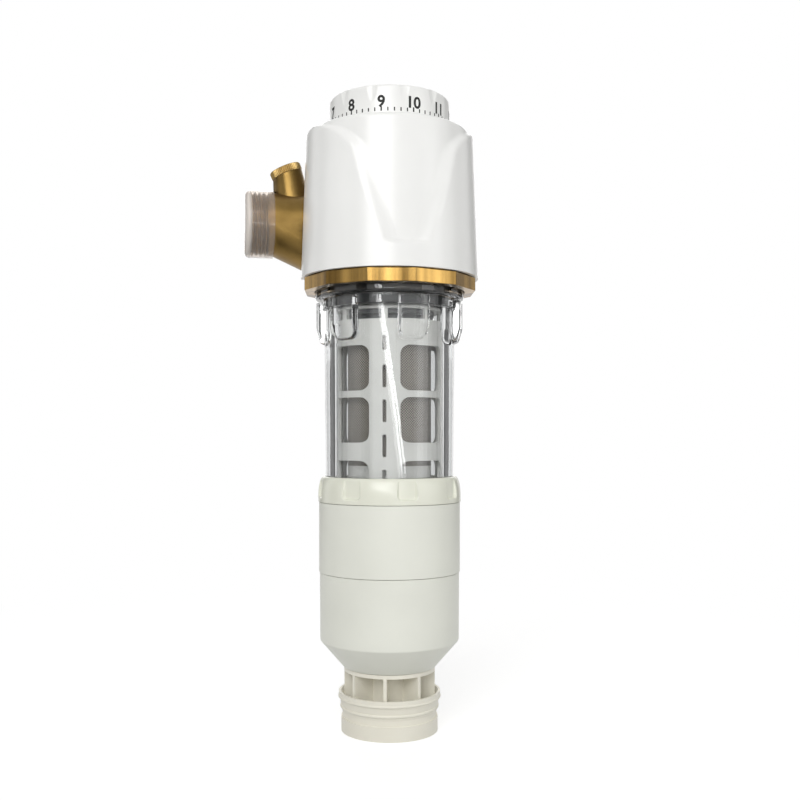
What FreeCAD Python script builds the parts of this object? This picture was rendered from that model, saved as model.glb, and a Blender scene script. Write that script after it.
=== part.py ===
import FreeCAD, Part
import math
import os

# Self cleaning water filter: a brass head under a white hood, a clear bowl with the filter
# element and its turning jet cage, and a ceramic disc drain valve worked by the lower knob.
# Millimetres. The origin is the centre of the drain spigot's lower edge, +Z is up,
# the front is -Y and the inlet branch points to -X.

# Air and fits
RUN = 0.05              # radial clearance of a shaft that turns in its bore
AIR = 0.3               # gap between neighbouring faces that move or only pass

# Clear bowl
BOWL_IN_R = 27.8
TUBE_WALL = 5.2
TUBE_FLARE = 0.8        # growth of the tube's radius from its foot to its top
TUBE_H = 89.7
BOWL_FOOT_WALL = 3.2
BOWL_FOOT_DROP = 12.0   # length of the foot inside the housing
BOWL_FLANGE_W = 1.6
BOWL_FLANGE_T = 3.0
BOWL_STEP_W = 3.4       # inner step that carries the filter seat
UNDERCUT_W = 1.0
UNDERCUT_H = 5.0
BEAD_W = 3.7
BEAD_H = 4.0
BEAD_ROUND = 1.4
RETAIN_W = 2.5
RETAIN_T = 2.5
NECK_WALL = 5.2
NECK_H = 7.0
LUGS = 6
LUG_W = 16.5
LUG_OUT = 3.5           # how far a lug stands out of the tube
LUG_H = 21.8
LUG_SLOPE_H = 8.0
LUG_CORNER_R = 5.0
LUG_RISE = 1.2          # how far a lug stands under the bead
LUG_TURN = 8.5          # degrees off the front to the middle of a lug
LUG_SINK = 0.2          # how far a lug's foot starts inside the tube
ORING_T = 2.4           # thickness of the two large round seals

TUBE_FOOT_R = BOWL_IN_R + TUBE_WALL
TUBE_TOP_R = TUBE_FOOT_R + TUBE_FLARE
BOWL_FOOT_R = BOWL_IN_R + BOWL_FOOT_WALL
BOWL_FLANGE_R = TUBE_FOOT_R + BOWL_FLANGE_W
UNDERCUT_R = TUBE_TOP_R + UNDERCUT_W
BEAD_R = UNDERCUT_R + BEAD_W
RETAIN_R = BEAD_R + RETAIN_W
NECK_BORE_R = BOWL_IN_R + BOWL_STEP_W
NECK_R = NECK_BORE_R + NECK_WALL
LUG_ROOT_R = (NECK_BORE_R + TUBE_TOP_R) / 2
LUG_R = TUBE_TOP_R + LUG_OUT

# Lower union nut
NUT_WALL = 2.3
NUT_LIP_H = 3.9
NUT_ROUND = 1.4
NUT_NOTCHES = 8
NUT_NOTCH_W = 9.2
NUT_NOTCH_H = 11.5
NUT_NOTCH_DEPTH = 1.0
NUT_NOTCH_ROUND = 2.0
NUT_TURN = 2.5
NUT_R = BOWL_FLANGE_R + NUT_WALL

# Outlet nozzle, the knob's hollow shaft
NOZZLE_BORE_R = 8.5
NOZZLE_WALL = 1.6
NOZZLE_REACH = 2.9      # how far the nozzle reaches below the spigot's sleeve
SHOULDER_W = 2.0
CLIP_H = 1.3
CLIP_W = 1.2            # how far the clip stands out of the nozzle
CLIP_DEPTH = 0.5        # how deep the clip sits in the nozzle
SHAFT_SEAL_T = 1.8      # thickness of the shaft's round seal
NOZZLE_R = NOZZLE_BORE_R + NOZZLE_WALL
SHOULDER_R = NOZZLE_R + SHOULDER_W
CLIP_R = NOZZLE_R + CLIP_W

# Ceramic discs, their carrier and the drive stem
DISC_R = 17.0
DISC_T = 4.0
STEM_R = 3.0
PORT_EDGE = 2.5         # solid ring inside and outside a disc's ports
PORT_ANGLE = 80.0
PORTS = 2
SEAT_SEAL_T = 1.0
SEAT_SEAL_W = 1.8
CARRIER_W = 1.0
CARRIER_H = 6.0
CARRIER_RIM = 2.5
CARRIER_HUB_W = 2.0
CARRIER_SPOKES = 4
CARRIER_SPOKE_T = 2.4
PORT_IN_R = STEM_R + PORT_EDGE
PORT_OUT_R = DISC_R - PORT_EDGE
CARRIER_R = DISC_R + CARRIER_W
CARRIER_HUB_R = STEM_R + CARRIER_HUB_W

# Valve housing
HOUSING_STEP = 0.4      # how far the housing stands back from the nut
HOUSING_H = 35.7
HOUSING_WALL = 2.5
HOUSING_FLOOR_T = 3.5
CHAMBER_AIR = 1.0
CHAMBER_WALL = 2.5
PARTITION_T = 3.0
COLLAR_H = 6.3
FOOT_AIR = 0.2          # bowl's foot inside the collar
HOUSING_R = NUT_R - HOUSING_STEP
CHAMBER_R = CARRIER_R + CHAMBER_AIR
COLLAR_R = BOWL_FLANGE_R
COLLAR_BORE_R = BOWL_FOOT_R + FOOT_AIR

# Drain spigot, pushed into a 50 mm drain pipe
PIPE_R = 25.0
PIPE_BAND_H = 7.6
GROOVE_H = 2.9
GROOVE_DEPTH = 0.6
SKIRT_H = 6.8
SKIRT_FOOT_DEPTH = 0.4  # skirt's foot inside the pipe band's radius
SKIRT_SPREAD = 1.2
RIM_W = 0.5
RIM_H = 3.2
RIM_LIP = 1.2           # thickness of the rim's upper lip, inside which the dish starts
SPIGOT_WALL = 2.0
SPIGOT_RIBS = 8
SPIGOT_RIB_T = 1.7
SPIGOT_RIB_DEPTH = 1.5  # ribs inside the pipe band's radius
SPIGOT_RIB_H = 10.5     # free height of the ribs above the rim
SPIGOT_RIB_ROOT = 6.5   # how far the ribs run down inside the skirt
SPIGOT_PLATE_T = 2.0
SLEEVE_WALL = 1.55
SLEEVE_DROP = 4.0       # how far the sleeve hangs below the rim
SPIGOT_TURN = -17.0     # degrees from +X to the first rib
SKIRT_FOOT_R = PIPE_R - SKIRT_FOOT_DEPTH
SKIRT_TOP_R = SKIRT_FOOT_R + SKIRT_SPREAD
RIM_R = SKIRT_TOP_R + RIM_W
SPIGOT_RIB_R = PIPE_R - SPIGOT_RIB_DEPTH

# Drain knob
CONE_H = 13.7
CONE_FOOT_W = 0.5       # how far the cone's foot stands over the spigot's ribs
KNOB_STEP = 0.4         # how far the knob's top stands back from the housing
KNOB_TAPER = 0.2
KNOB_BARREL_H = 35.0
KNOB_WALL = 2.6
KNOB_ROUND = 1.5
KNOB_HUB_WALL = 3.9
KNOB_HUB_H = 36.7
KNOB_RIBS = 6
KNOB_RIB_T = 1.8
KNOB_SWEEP = 90.0       # degrees from shut to open
CONE_FOOT_R = SPIGOT_RIB_R + CONE_FOOT_W
KNOB_TOP_R = HOUSING_R - KNOB_STEP
KNOB_FOOT_R = KNOB_TOP_R - KNOB_TAPER

# Head body, the brass casting
THREAD_AIR = 0.4        # bowl's retaining flange inside the head's thread
HEAD_THREAD_H = 12.4
HEAD_NECK_DEPTH = 2.4   # barrel inside the thread's radius
HEAD_DOME_W = 9.0
HEAD_CHAMFER_H = 2.0
HEAD_BARREL_H = 22.0
HEAD_DOME_H = 10.0
HEAD_PEAK_H = 5.0
ROOF_H = 11.4           # height of the water chamber above the neck bore
HUB_BORE_R = 12.5
HUB_WALL = 2.8
HUB_DROP = 10.0
HUB_BORE_H = 22.0
BOSS_R = 7.0
BRANCH_Y = 25.0         # the pipe line runs behind the axis
BRANCH_RISE = 25.7      # pipe line above the neck bore's top
BRANCH_R = 16.6
BRANCH_WALL = 4.1
NECKED_DEPTH = 3.0      # pipe section inside the hood, inside the branch's radius
NECKED_WALL = 3.1
NECKED_X = 24.0         # half length of that section
PASSAGE_R = 8.0
BRIDGE_L = 16.0         # solid between the inlet's and the outlet's bores
DOWN_X = 14.0           # raw water passage from the inlet down to the chamber
DOWN_Y = 18.0
THREAD_R = RETAIN_R + THREAD_AIR
HEAD_R = THREAD_R - HEAD_NECK_DEPTH
HEAD_TOP_R = HEAD_R - HEAD_DOME_W
BRANCH_BORE_R = BRANCH_R - BRANCH_WALL
NECKED_R = BRANCH_R - NECKED_DEPTH
NECKED_BORE_R = NECKED_R - NECKED_WALL

# Brass union ring
RING_LIP_T = 2.0
RING_LIP_AIR = 0.4      # bowl's bead inside the ring's lip
RING_BAND_H = 6.6
RING_BAND_W = 3.6       # band's corners beyond the head's thread
RING_NECK_WALL = 1.3
RING_NECK_H = 9.4
RING_FLATS = 12
RING_TURN = -10.0       # degrees off the front to the middle of the front flat
SLIP_RING_T = 0.8
RING_R = THREAD_R + RING_BAND_W
RING_LIP_R = BEAD_R + RING_LIP_AIR
RING_NECK_R = THREAD_R + AIR + RING_NECK_WALL

# Hood, a moulded shell with a sunken front panel
HOOD_OVERHANG = 0.8     # hood's foot beyond the ring's corners
HOOD_TAPER = 2.7
HOOD_H = 75.0
HOOD_WALL = 2.2
HOOD_ROUND = 2.5
HOOD_GAP = 0.4          # air between the union ring's band and the hood
PANEL_DEPTH = 1.9
PANEL_RISE = 10.4       # hood's foot to the panel's lower edge
PANEL_FOOT_H = 3.2      # height of the slope along that edge
PANEL_FOOT_HALF = 16.5  # degrees, half width at the foot
PANEL_SPREAD = 0.4545   # degrees gained for each millimetre of height
PANEL_EDGE = 12.0       # degrees, width of the sloping edge
ARCH_H = 19.0           # height over which the panel opens into the arches
ARCH_SPREAD = 48.0      # degrees gained over that height
NOTCH_AIR = 0.8
STRIP_HALF = 16.0       # half width of the hood's rear strip
HOOD_SCREW_R = 3.0
HOOD_SCREW_HEAD_W = 2.0
HOOD_SCREW_HEAD_H = 3.5
HOOD_SCREW_DEPTH = 16.0
HOOD_SCREW_SPARE = 1.0  # air under the screw's end
HOOD_FOOT_R = RING_R + HOOD_OVERHANG
HOOD_TOP_R = HOOD_FOOT_R - HOOD_TAPER

# Inlet and outlet ends of the casting
INLET_OUT = 26.4        # inlet's end beyond the hood's foot
INLET_THREAD_L = 11.0
INLET_THREAD_DEPTH = 1.3
FLARE_DEPTH = 9.8       # flare's root inside the hood's foot
FLARE_R = 15.0
FLARE_DROP = 11.6
OUTLET_OUT = 2.7        # outlet's mouth beyond the hood's foot
OUTLET_WALL = 3.85
SOCKET_R = 15.15
SOCKET_L = 16.0
INLET_X = HOOD_FOOT_R + INLET_OUT
INLET_CORE_R = BRANCH_R - INLET_THREAD_DEPTH
FLARE_X = HOOD_FOOT_R - FLARE_DEPTH
OUTLET_X = HOOD_FOOT_R + OUTLET_OUT
OUTLET_R = SOCKET_R + OUTLET_WALL

# Gauge port on the inlet branch, and its plug
GAUGE_OUT = 0.2         # port's middle beyond the hood's foot
GAUGE_R = 11.4
GAUGE_TAPER = 3.15
GAUGE_SHIFT = 4.6       # how far the face's middle leans out from the port's foot
GAUGE_RISE = 27.1       # centre of the port's face above the pipe line
GAUGE_LEAN = 22.7
GAUGE_HOLE_R = 5.0
GAUGE_HOLE_DEPTH = 13.0
PLUG_W = 0.3            # how far the plug's head stands over the port's face
PLUG_H = 3.2
PLUG_SHANK_L = 9.0
PLUG_SEAL_T = 0.6
PLUG_SEAL_EDGE = 0.65
GAUGE_X = HOOD_FOOT_R + GAUGE_OUT
GAUGE_TOP_X = GAUGE_X + GAUGE_SHIFT
GAUGE_TOP_R = GAUGE_R - GAUGE_TAPER
PLUG_R = GAUGE_TOP_R + PLUG_W
PLUG_SEAL_R = GAUGE_TOP_R - PLUG_SEAL_EDGE

# Inlet cap
CAP_WALL = 0.75
CAP_END_T = 1.0

# Jet cage round the element
CAGE_AIR = 1.2          # water gap between the cage and the bowl
CAGE_WALL = 1.8
CAGE_DROP = 1.5         # air between the cage's top and the element's shoulder
CAGE_TOP_T = 2.0
CAGE_TOP_ROUND = 1.6
CAGE_COLUMNS = 4
CAGE_COLUMN_ANGLE = 32.0
CAGE_TURN = -16.5
WINDOW_DROP = 20.1
WINDOW_H = 22.6
WINDOW_ROUND = 4.5
THIN_BAR_H = 3.3
WIDE_BAR_H = 9.0
VENTS = 8
VENT_ANGLE = 38.6
VENT_DROP = 2.1
VENT_H = 5.2
STRIP_W = 10.7
STRIP_T = 0.6
STRIP_DROP = 11.3
JET_W = 1.9
JET_L = 11.3
JET_PITCH = 17.2
JETS = 5
JET_DROP = 30.1         # cage top to the first long jet's upper end
SHORT_JET_L = 7.8
SHORT_JET_DROP = 15.4
CAGE_HUB_WALL = 3.0
CAGE_HUB_H = 8.0
CAGE_FLOOR_T = 3.0
CAGE_FLOOR_RISE = 1.4
CAGE_SPOKES = 4
CAGE_SPOKE_T = 5.0
HUB_LIFT = 0.8          # cage hub above the housing's partition
BUSH_H = 4.0
CAGE_R = BOWL_IN_R - CAGE_AIR
CAGE_LIP_R = CAGE_R - 2 * CAGE_WALL
CAGE_HUB_R = STEM_R + CAGE_HUB_WALL

# Filter element
MESH_GAP = 3.2          # water gap between the cage's wall and the mesh
MESH_T = 0.8
MESH_H = 69.0
CORE_T = 1.8
CORE_COLUMNS = 6
CORE_ROWS = 4
CORE_BAR = 3.0
END_CAP_H = 6.0
END_BOSS_WALL = 3.0
END_BOSS_DROP = 3.0
STEM_BEARING_H = 5.5
TOP_PLATE_T = 3.0
TOP_NECK_H = 9.8
OUT_TUBE_WALL = 2.7
OUT_TUBE_H = 29.2
TUBE_SEAL_T = 1.8
ELEMENT_DROP = 1.8      # element's shoulder above the bowl's inner step
MESH_R = CAGE_R - CAGE_WALL - MESH_GAP
TOP_NECK_R = MESH_R - MESH_T
END_BOSS_R = STEM_R + END_BOSS_WALL
OUT_TUBE_R = HUB_BORE_R - AIR
OUT_TUBE_BORE_R = OUT_TUBE_R - OUT_TUBE_WALL

# Black filter seat in the bowl's neck
SEAT_WALL = 2.4
SEAT_HUB_WALL = 4.3
SEAT_HUB_H = 4.2
SEAT_SPOKES = 6
SEAT_SPOKE_T = 3.0
SEAT_SPOKE_RISE = 1.0
SEAT_R = NECK_BORE_R - AIR
SEAT_HUB_R = OUT_TUBE_R + SEAT_HUB_WALL

# Month dial and the hood's collar that carries it
DIAL_R = 31.0
DIAL_H = 16.2
DIAL_WALL = 1.8
DIAL_TOP_T = 2.2
DIAL_ROUND = 1.5
DIAL_BEAD = 1.0
DIAL_BEAD_H = 1.4
DIAL_SCALLOPS = 12
SCALLOP_R = 7.0
SCALLOP_DEPTH = 0.8
SCALLOP_H = 8.5
SCALLOP_TURN = -117.5
DIAL_COLLAR_H = 11.0
DIAL_COLLAR_WALL = 2.9

# Heights, stacked from the spigot's lower edge
Z_GROOVE = PIPE_BAND_H
Z_SKIRT = Z_GROOVE + GROOVE_H
Z_RIM = Z_SKIRT + SKIRT_H
Z_RIM_TOP = Z_RIM + RIM_H
Z_PLATE = Z_RIM_TOP + SPIGOT_RIB_H
Z_SPIGOT_TOP = Z_PLATE + SPIGOT_PLATE_T
Z_SLEEVE = Z_RIM_TOP - SLEEVE_DROP
Z_CLIP = Z_SLEEVE - AIR - CLIP_H
Z_NOZZLE = Z_SLEEVE - NOZZLE_REACH
Z_KNOB = Z_SPIGOT_TOP + AIR
Z_BARREL = Z_KNOB + CONE_H
Z_KNOB_TOP = Z_BARREL + KNOB_BARREL_H
Z_KNOB_HUB = Z_KNOB + KNOB_HUB_H
Z_HOUSING = Z_KNOB_TOP + AIR
Z_FLOOR = Z_HOUSING + HOUSING_FLOOR_T
Z_CARRIER = Z_FLOOR + AIR
Z_DISC = Z_CARRIER + CARRIER_H
Z_FIXED_DISC = Z_DISC + DISC_T + RUN
Z_SEAT_SEAL = Z_FIXED_DISC + DISC_T
Z_PARTITION = Z_SEAT_SEAL + SEAT_SEAL_T
Z_SUMP = Z_PARTITION + PARTITION_T
Z_HOUSING_TOP = Z_HOUSING + HOUSING_H
Z_FOOT_FLANGE = Z_HOUSING_TOP + COLLAR_H
Z_TUBE = Z_FOOT_FLANGE + BOWL_FLANGE_T
Z_NUT_TOP = Z_TUBE + NUT_LIP_H
Z_BOWL = Z_FOOT_FLANGE - BOWL_FOOT_DROP
Z_UNDERCUT = Z_TUBE + TUBE_H
Z_BEAD = Z_UNDERCUT + UNDERCUT_H
Z_RING = Z_BEAD + BEAD_H
Z_SLIP_RING = Z_RING + RING_LIP_T
Z_RETAIN = Z_SLIP_RING + SLIP_RING_T
Z_NECK = Z_RETAIN + RETAIN_T
Z_NECK_TOP = Z_NECK + NECK_H
Z_HEAD = Z_NECK + AIR
Z_NECK_BORE = Z_NECK_TOP + AIR
Z_ROOF = Z_NECK_BORE + ROOF_H
Z_BRANCH = Z_NECK_BORE + BRANCH_RISE
Z_HEAD_THREAD = Z_HEAD + HEAD_THREAD_H
Z_HOOD = Z_RING + RING_BAND_H + HOOD_GAP
Z_HOOD_TOP = Z_HOOD + HOOD_H
Z_HOOD_PLATE = Z_HOOD_TOP - HOOD_WALL
Z_DIAL = Z_HOOD_TOP + AIR
Z_DIAL_TOP = Z_DIAL + DIAL_H
Z_ELEMENT_SHOULDER = Z_UNDERCUT + ELEMENT_DROP
Z_MESH_TOP = Z_ELEMENT_SHOULDER - TOP_NECK_H - TOP_PLATE_T
Z_MESH = Z_MESH_TOP - MESH_H
Z_END_CAP = Z_MESH - END_CAP_H
Z_STEM_TOP = Z_END_CAP - END_BOSS_DROP + STEM_BEARING_H
Z_CAGE_TOP = Z_ELEMENT_SHOULDER - CAGE_DROP
Z_CAGE_HUB = Z_SUMP + HUB_LIFT
Z_CAGE = Z_CAGE_HUB + CAGE_FLOOR_RISE

CAP_IN_R = BRANCH_R + AIR
GAUGE_FACE_X = GAUGE_TOP_X + GAUGE_TOP_R * math.cos(math.radians(GAUGE_LEAN))
CAP_MOUTH_X = max(GAUGE_X + GAUGE_R, GAUGE_FACE_X) + AIR    # the cap ends short of the gauge port
FIT_BORE_R = NOZZLE_R + RUN

X_AXIS = FreeCAD.Vector(1, 0, 0)
Z_AXIS = FreeCAD.Vector(0, 0, 1)
ORIGIN = FreeCAD.Vector(0, 0, 0)


def point(x, y, z):
    return FreeCAD.Vector(x, y, z)


def turned(corners):
    """A solid of revolution about Z from the (radius, height) corners of its half section."""
    outline = [point(r, 0, z) for r, z in corners]
    area = sum(a.x * b.z - b.x * a.z for a, b in zip(outline, outline[1:] + outline[:1]))
    if area > 0:
        outline.reverse()
    face = Part.Face(Part.makePolygon(outline + outline[:1]))
    return face.revolve(ORIGIN, Z_AXIS, 360)


def ring(outer_r, inner_r, low, high):
    return turned([(inner_r, low), (outer_r, low), (outer_r, high), (inner_r, high)])


def round_seal(centre_r, thickness, height):
    """A round-section seal whose section's centre lies at that radius and height."""
    return Part.makeTorus(centre_r, thickness / 2, point(0, 0, height), Z_AXIS)


def turned_to(shape, degrees):
    copy = shape.copy()
    copy.rotate(ORIGIN, Z_AXIS, degrees)
    return copy


def around(shape, count, first=0.0):
    """Copies of a shape spaced evenly round Z."""
    return [turned_to(shape, first + 360.0 * i / count) for i in range(count)]


def radial_slab(width, r_from, r_to, low, high):
    """An upright slab that runs outwards along +X."""
    return Part.makeBox(r_to - r_from, width, high - low, point(r_from, -width / 2, low))


def rounded_panel(width, low, high, corner, r_from, r_to, round_top=True):
    """An upright rounded rectangle, extruded outwards along +X between two radii."""
    panel = radial_slab(width, r_from, r_to, low, high)
    edges = []
    for edge in panel.Edges:
        ends = [v.Point for v in edge.Vertexes]
        along_x = abs(ends[0].x - ends[1].x) > abs(ends[0].y - ends[1].y) + abs(ends[0].z - ends[1].z)
        if along_x and (round_top or ends[0].z < (low + high) / 2):
            edges.append(edge)
    return panel.makeFillet(min(corner, 0.49 * width, 0.49 * (high - low)), edges)


def pie(r_in, r_out, low, high, degrees):
    """A sector block centred on +X."""
    outer = Part.makeCylinder(r_out, high - low, point(0, 0, low), Z_AXIS, degrees)
    inner = Part.makeCylinder(r_in, high - low, point(0, 0, low), Z_AXIS, 360)
    return turned_to(outer.cut(inner), -degrees / 2)


def fuse(first, *others):
    shapes = [s for group in others for s in (group if isinstance(group, list) else [group])]
    return first.fuse(shapes).removeSplitter()


def cut(first, *others):
    shapes = [s for group in others for s in (group if isinstance(group, list) else [group])]
    return first.cut(shapes)


def circle_edges(shape, radius, height):
    """The full circles of a shape at that radius and height."""
    found = []
    for edge in shape.Edges:
        curve = edge.Curve
        if isinstance(curve, Part.Circle) and abs(curve.Center.z - height) < 1e-4:
            if abs(curve.Radius - radius) < 1e-4:
                found.append(edge)
    return found


def drain_spigot():
    """Pipe socket piece: a skirt with a dish rim, radial ribs and a sleeve round the nozzle."""
    inner = PIPE_R - SPIGOT_WALL
    skirt = turned([
        (inner, 0),
        (PIPE_R, 0),
        (PIPE_R, Z_GROOVE),
        (PIPE_R - GROOVE_DEPTH, Z_GROOVE),
        (PIPE_R - GROOVE_DEPTH, Z_SKIRT),
        (SKIRT_FOOT_R, Z_SKIRT),
        (SKIRT_TOP_R, Z_RIM),
        (RIM_R, Z_RIM),
        (RIM_R, Z_RIM_TOP),
        (RIM_R - RIM_LIP, Z_RIM_TOP),
        (inner, Z_RIM),
    ])
    sleeve = ring(FIT_BORE_R + SLEEVE_WALL, FIT_BORE_R, Z_SLEEVE, Z_SPIGOT_TOP)
    plate = ring(SPIGOT_RIB_R, FIT_BORE_R, Z_PLATE, Z_SPIGOT_TOP)
    root = Z_RIM_TOP - SPIGOT_RIB_ROOT
    rib = radial_slab(SPIGOT_RIB_T, FIT_BORE_R + SLEEVE_WALL / 2, SPIGOT_RIB_R, root, Z_PLATE)
    under_sleeve = Part.makeCylinder(CLIP_R + 3 * AIR, Z_SLEEVE - root, point(0, 0, root))
    rib = rib.cut(under_sleeve)
    return fuse(skirt, sleeve, plate, around(rib, SPIGOT_RIBS, SPIGOT_TURN))


def spigot_clip():
    """Ring in the nozzle's groove that holds the spigot up."""
    return ring(CLIP_R, NOZZLE_R - CLIP_DEPTH, Z_CLIP, Z_CLIP + CLIP_H)


def drain_knob():
    """Cup with a conical floor, a hub round the nozzle and inner ribs."""
    hub_r = NOZZLE_R + KNOB_HUB_WALL
    inner_r = KNOB_FOOT_R - KNOB_WALL
    cup = turned([
        (NOZZLE_R, Z_KNOB),
        (CONE_FOOT_R, Z_KNOB),
        (KNOB_FOOT_R, Z_BARREL),
        (KNOB_TOP_R, Z_KNOB_TOP),
        (inner_r, Z_KNOB_TOP),
        (inner_r, Z_BARREL + KNOB_ROUND),
        (CONE_FOOT_R - KNOB_ROUND, Z_KNOB + KNOB_WALL),
        (hub_r, Z_KNOB + KNOB_WALL),
        (hub_r, Z_KNOB_HUB),
        (NOZZLE_R, Z_KNOB_HUB),
    ])
    cup = cup.makeFillet(KNOB_ROUND, circle_edges(cup, KNOB_FOOT_R, Z_BARREL))
    rib = radial_slab(KNOB_RIB_T, hub_r - 1, inner_r + 1, Z_BARREL, Z_KNOB_HUB)
    return fuse(cup, around(rib, KNOB_RIBS))


def shaft_seal_height():
    return Z_HOUSING + HOUSING_FLOOR_T / 2


def outlet_nozzle():
    """Hollow shaft: drain tube, shoulder in the housing's floor, and the disc carrier on top."""
    clip_r = NOZZLE_R - CLIP_DEPTH
    seal_low = shaft_seal_height() - SHAFT_SEAL_T / 2
    seal_high = seal_low + SHAFT_SEAL_T
    groove_r = SHOULDER_R - SHAFT_SEAL_T
    carrier_in = CARRIER_R - CARRIER_RIM
    body = turned([
        (NOZZLE_BORE_R, Z_NOZZLE),
        (NOZZLE_R, Z_NOZZLE),
        (NOZZLE_R, Z_CLIP),
        (clip_r, Z_CLIP),
        (clip_r, Z_CLIP + CLIP_H),
        (NOZZLE_R, Z_CLIP + CLIP_H),
        (NOZZLE_R, Z_KNOB_HUB),
        (SHOULDER_R, Z_KNOB_HUB),
        (SHOULDER_R, seal_low),
        (groove_r, seal_low),
        (groove_r, seal_high),
        (SHOULDER_R, seal_high),
        (SHOULDER_R, Z_CARRIER),
        (CARRIER_R, Z_CARRIER),
        (CARRIER_R, Z_DISC),
        (carrier_in, Z_DISC),
        (carrier_in, Z_CARRIER + CARRIER_H / 2),
        (NOZZLE_BORE_R, Z_CARRIER - AIR),
    ])
    spoke_low = Z_DISC - CARRIER_H / 2
    hub = ring(CARRIER_HUB_R, STEM_R, spoke_low, Z_DISC)
    spoke = radial_slab(CARRIER_SPOKE_T, (CARRIER_HUB_R + STEM_R) / 2, carrier_in + 1,
                        spoke_low, Z_DISC)
    return fuse(body, hub, around(spoke, CARRIER_SPOKES, 45))


def shaft_seal():
    centre = SHOULDER_R - SHAFT_SEAL_T / 2
    return round_seal(centre, SHAFT_SEAL_T, shaft_seal_height())


def disc_ports(low, high, first):
    return around(pie(PORT_IN_R, PORT_OUT_R, low, high, PORT_ANGLE), PORTS, first)


def turning_disc():
    disc = ring(DISC_R, STEM_R, Z_DISC, Z_DISC + DISC_T)
    return cut(disc, disc_ports(Z_DISC - 1, Z_DISC + DISC_T + 1, 0))


def fixed_disc():
    disc = ring(DISC_R, STEM_R + RUN, Z_FIXED_DISC, Z_SEAT_SEAL)
    return cut(disc, disc_ports(Z_FIXED_DISC - 1, Z_SEAT_SEAL + 1, KNOB_SWEEP))


def disc_seat_seal():
    return ring(DISC_R, DISC_R - SEAT_SEAL_W, Z_SEAT_SEAL, Z_PARTITION)


def drive_stem():
    """Stem from the disc carrier through the fixed disc to the cage and the element's bearing."""
    low = Z_DISC - CARRIER_H / 2
    return Part.makeCylinder(STEM_R, Z_STEM_TOP - low, point(0, 0, low), Z_AXIS)


def valve_housing():
    """Cup for the discs, a ported partition, a sump and the threaded collar for the nut."""
    skirt_r = HOUSING_R - HOUSING_WALL
    bell_r = CHAMBER_R + CHAMBER_WALL
    disc_bore_r = DISC_R + AIR
    body = turned([
        (SHOULDER_R + RUN, Z_HOUSING),
        (bell_r, Z_HOUSING),
        (bell_r, Z_PARTITION),
        (skirt_r, Z_PARTITION),
        (skirt_r, Z_HOUSING),
        (HOUSING_R, Z_HOUSING),
        (HOUSING_R, Z_HOUSING_TOP),
        (COLLAR_R, Z_HOUSING_TOP),
        (COLLAR_R, Z_FOOT_FLANGE),
        (COLLAR_BORE_R, Z_FOOT_FLANGE),
        (COLLAR_BORE_R, Z_SUMP),
        (STEM_R + RUN, Z_SUMP),
        (STEM_R + RUN, Z_PARTITION),
        (disc_bore_r, Z_PARTITION),
        (disc_bore_r, Z_FIXED_DISC),
        (CHAMBER_R, Z_FIXED_DISC),
        (CHAMBER_R, Z_FLOOR),
        (SHOULDER_R + RUN, Z_FLOOR),
    ])
    return cut(body, disc_ports(Z_PARTITION - 1, Z_SUMP + 1, KNOB_SWEEP))


def bowl_foot_seal_height():
    return Z_BOWL + BOWL_FOOT_DROP / 2


def bowl_foot_seal():
    centre = COLLAR_BORE_R - ORING_T / 2
    return round_seal(centre, ORING_T, bowl_foot_seal_height())


def lower_union_nut():
    """Cap nut that pulls the bowl's foot flange onto the housing's collar."""
    nut = turned([
        (COLLAR_R + AIR, Z_HOUSING_TOP + AIR),
        (NUT_R, Z_HOUSING_TOP + AIR),
        (NUT_R, Z_NUT_TOP),
        (TUBE_FOOT_R + AIR, Z_NUT_TOP),
        (TUBE_FOOT_R + AIR, Z_TUBE),
        (COLLAR_R + AIR, Z_TUBE),
    ])
    nut = nut.makeFillet(NUT_ROUND, circle_edges(nut, NUT_R, Z_NUT_TOP))
    notch = rounded_panel(NUT_NOTCH_W, Z_NUT_TOP - NUT_NOTCH_H, Z_NUT_TOP + 5, NUT_NOTCH_ROUND,
                          NUT_R - NUT_NOTCH_DEPTH, NUT_R + 5, round_top=False)
    return cut(nut, around(notch, NUT_NOTCHES, NUT_TURN))


def bowl_lug():
    """Grip lug under the bead: a sloped rib with a rounded foot."""
    top = Z_BEAD - LUG_RISE
    low = top - LUG_H
    block = turned([
        (LUG_ROOT_R, low),
        (TUBE_TOP_R - LUG_SINK, low),
        (LUG_R, low + LUG_SLOPE_H),
        (LUG_R, top),
        (LUG_ROOT_R, top),
    ])
    outline = rounded_panel(LUG_W, low, top, LUG_CORNER_R, LUG_ROOT_R - 1, LUG_R + 2, round_top=False)
    return block.common(outline)


def neck_seal_height():
    return Z_NECK + NECK_H / 2


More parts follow.
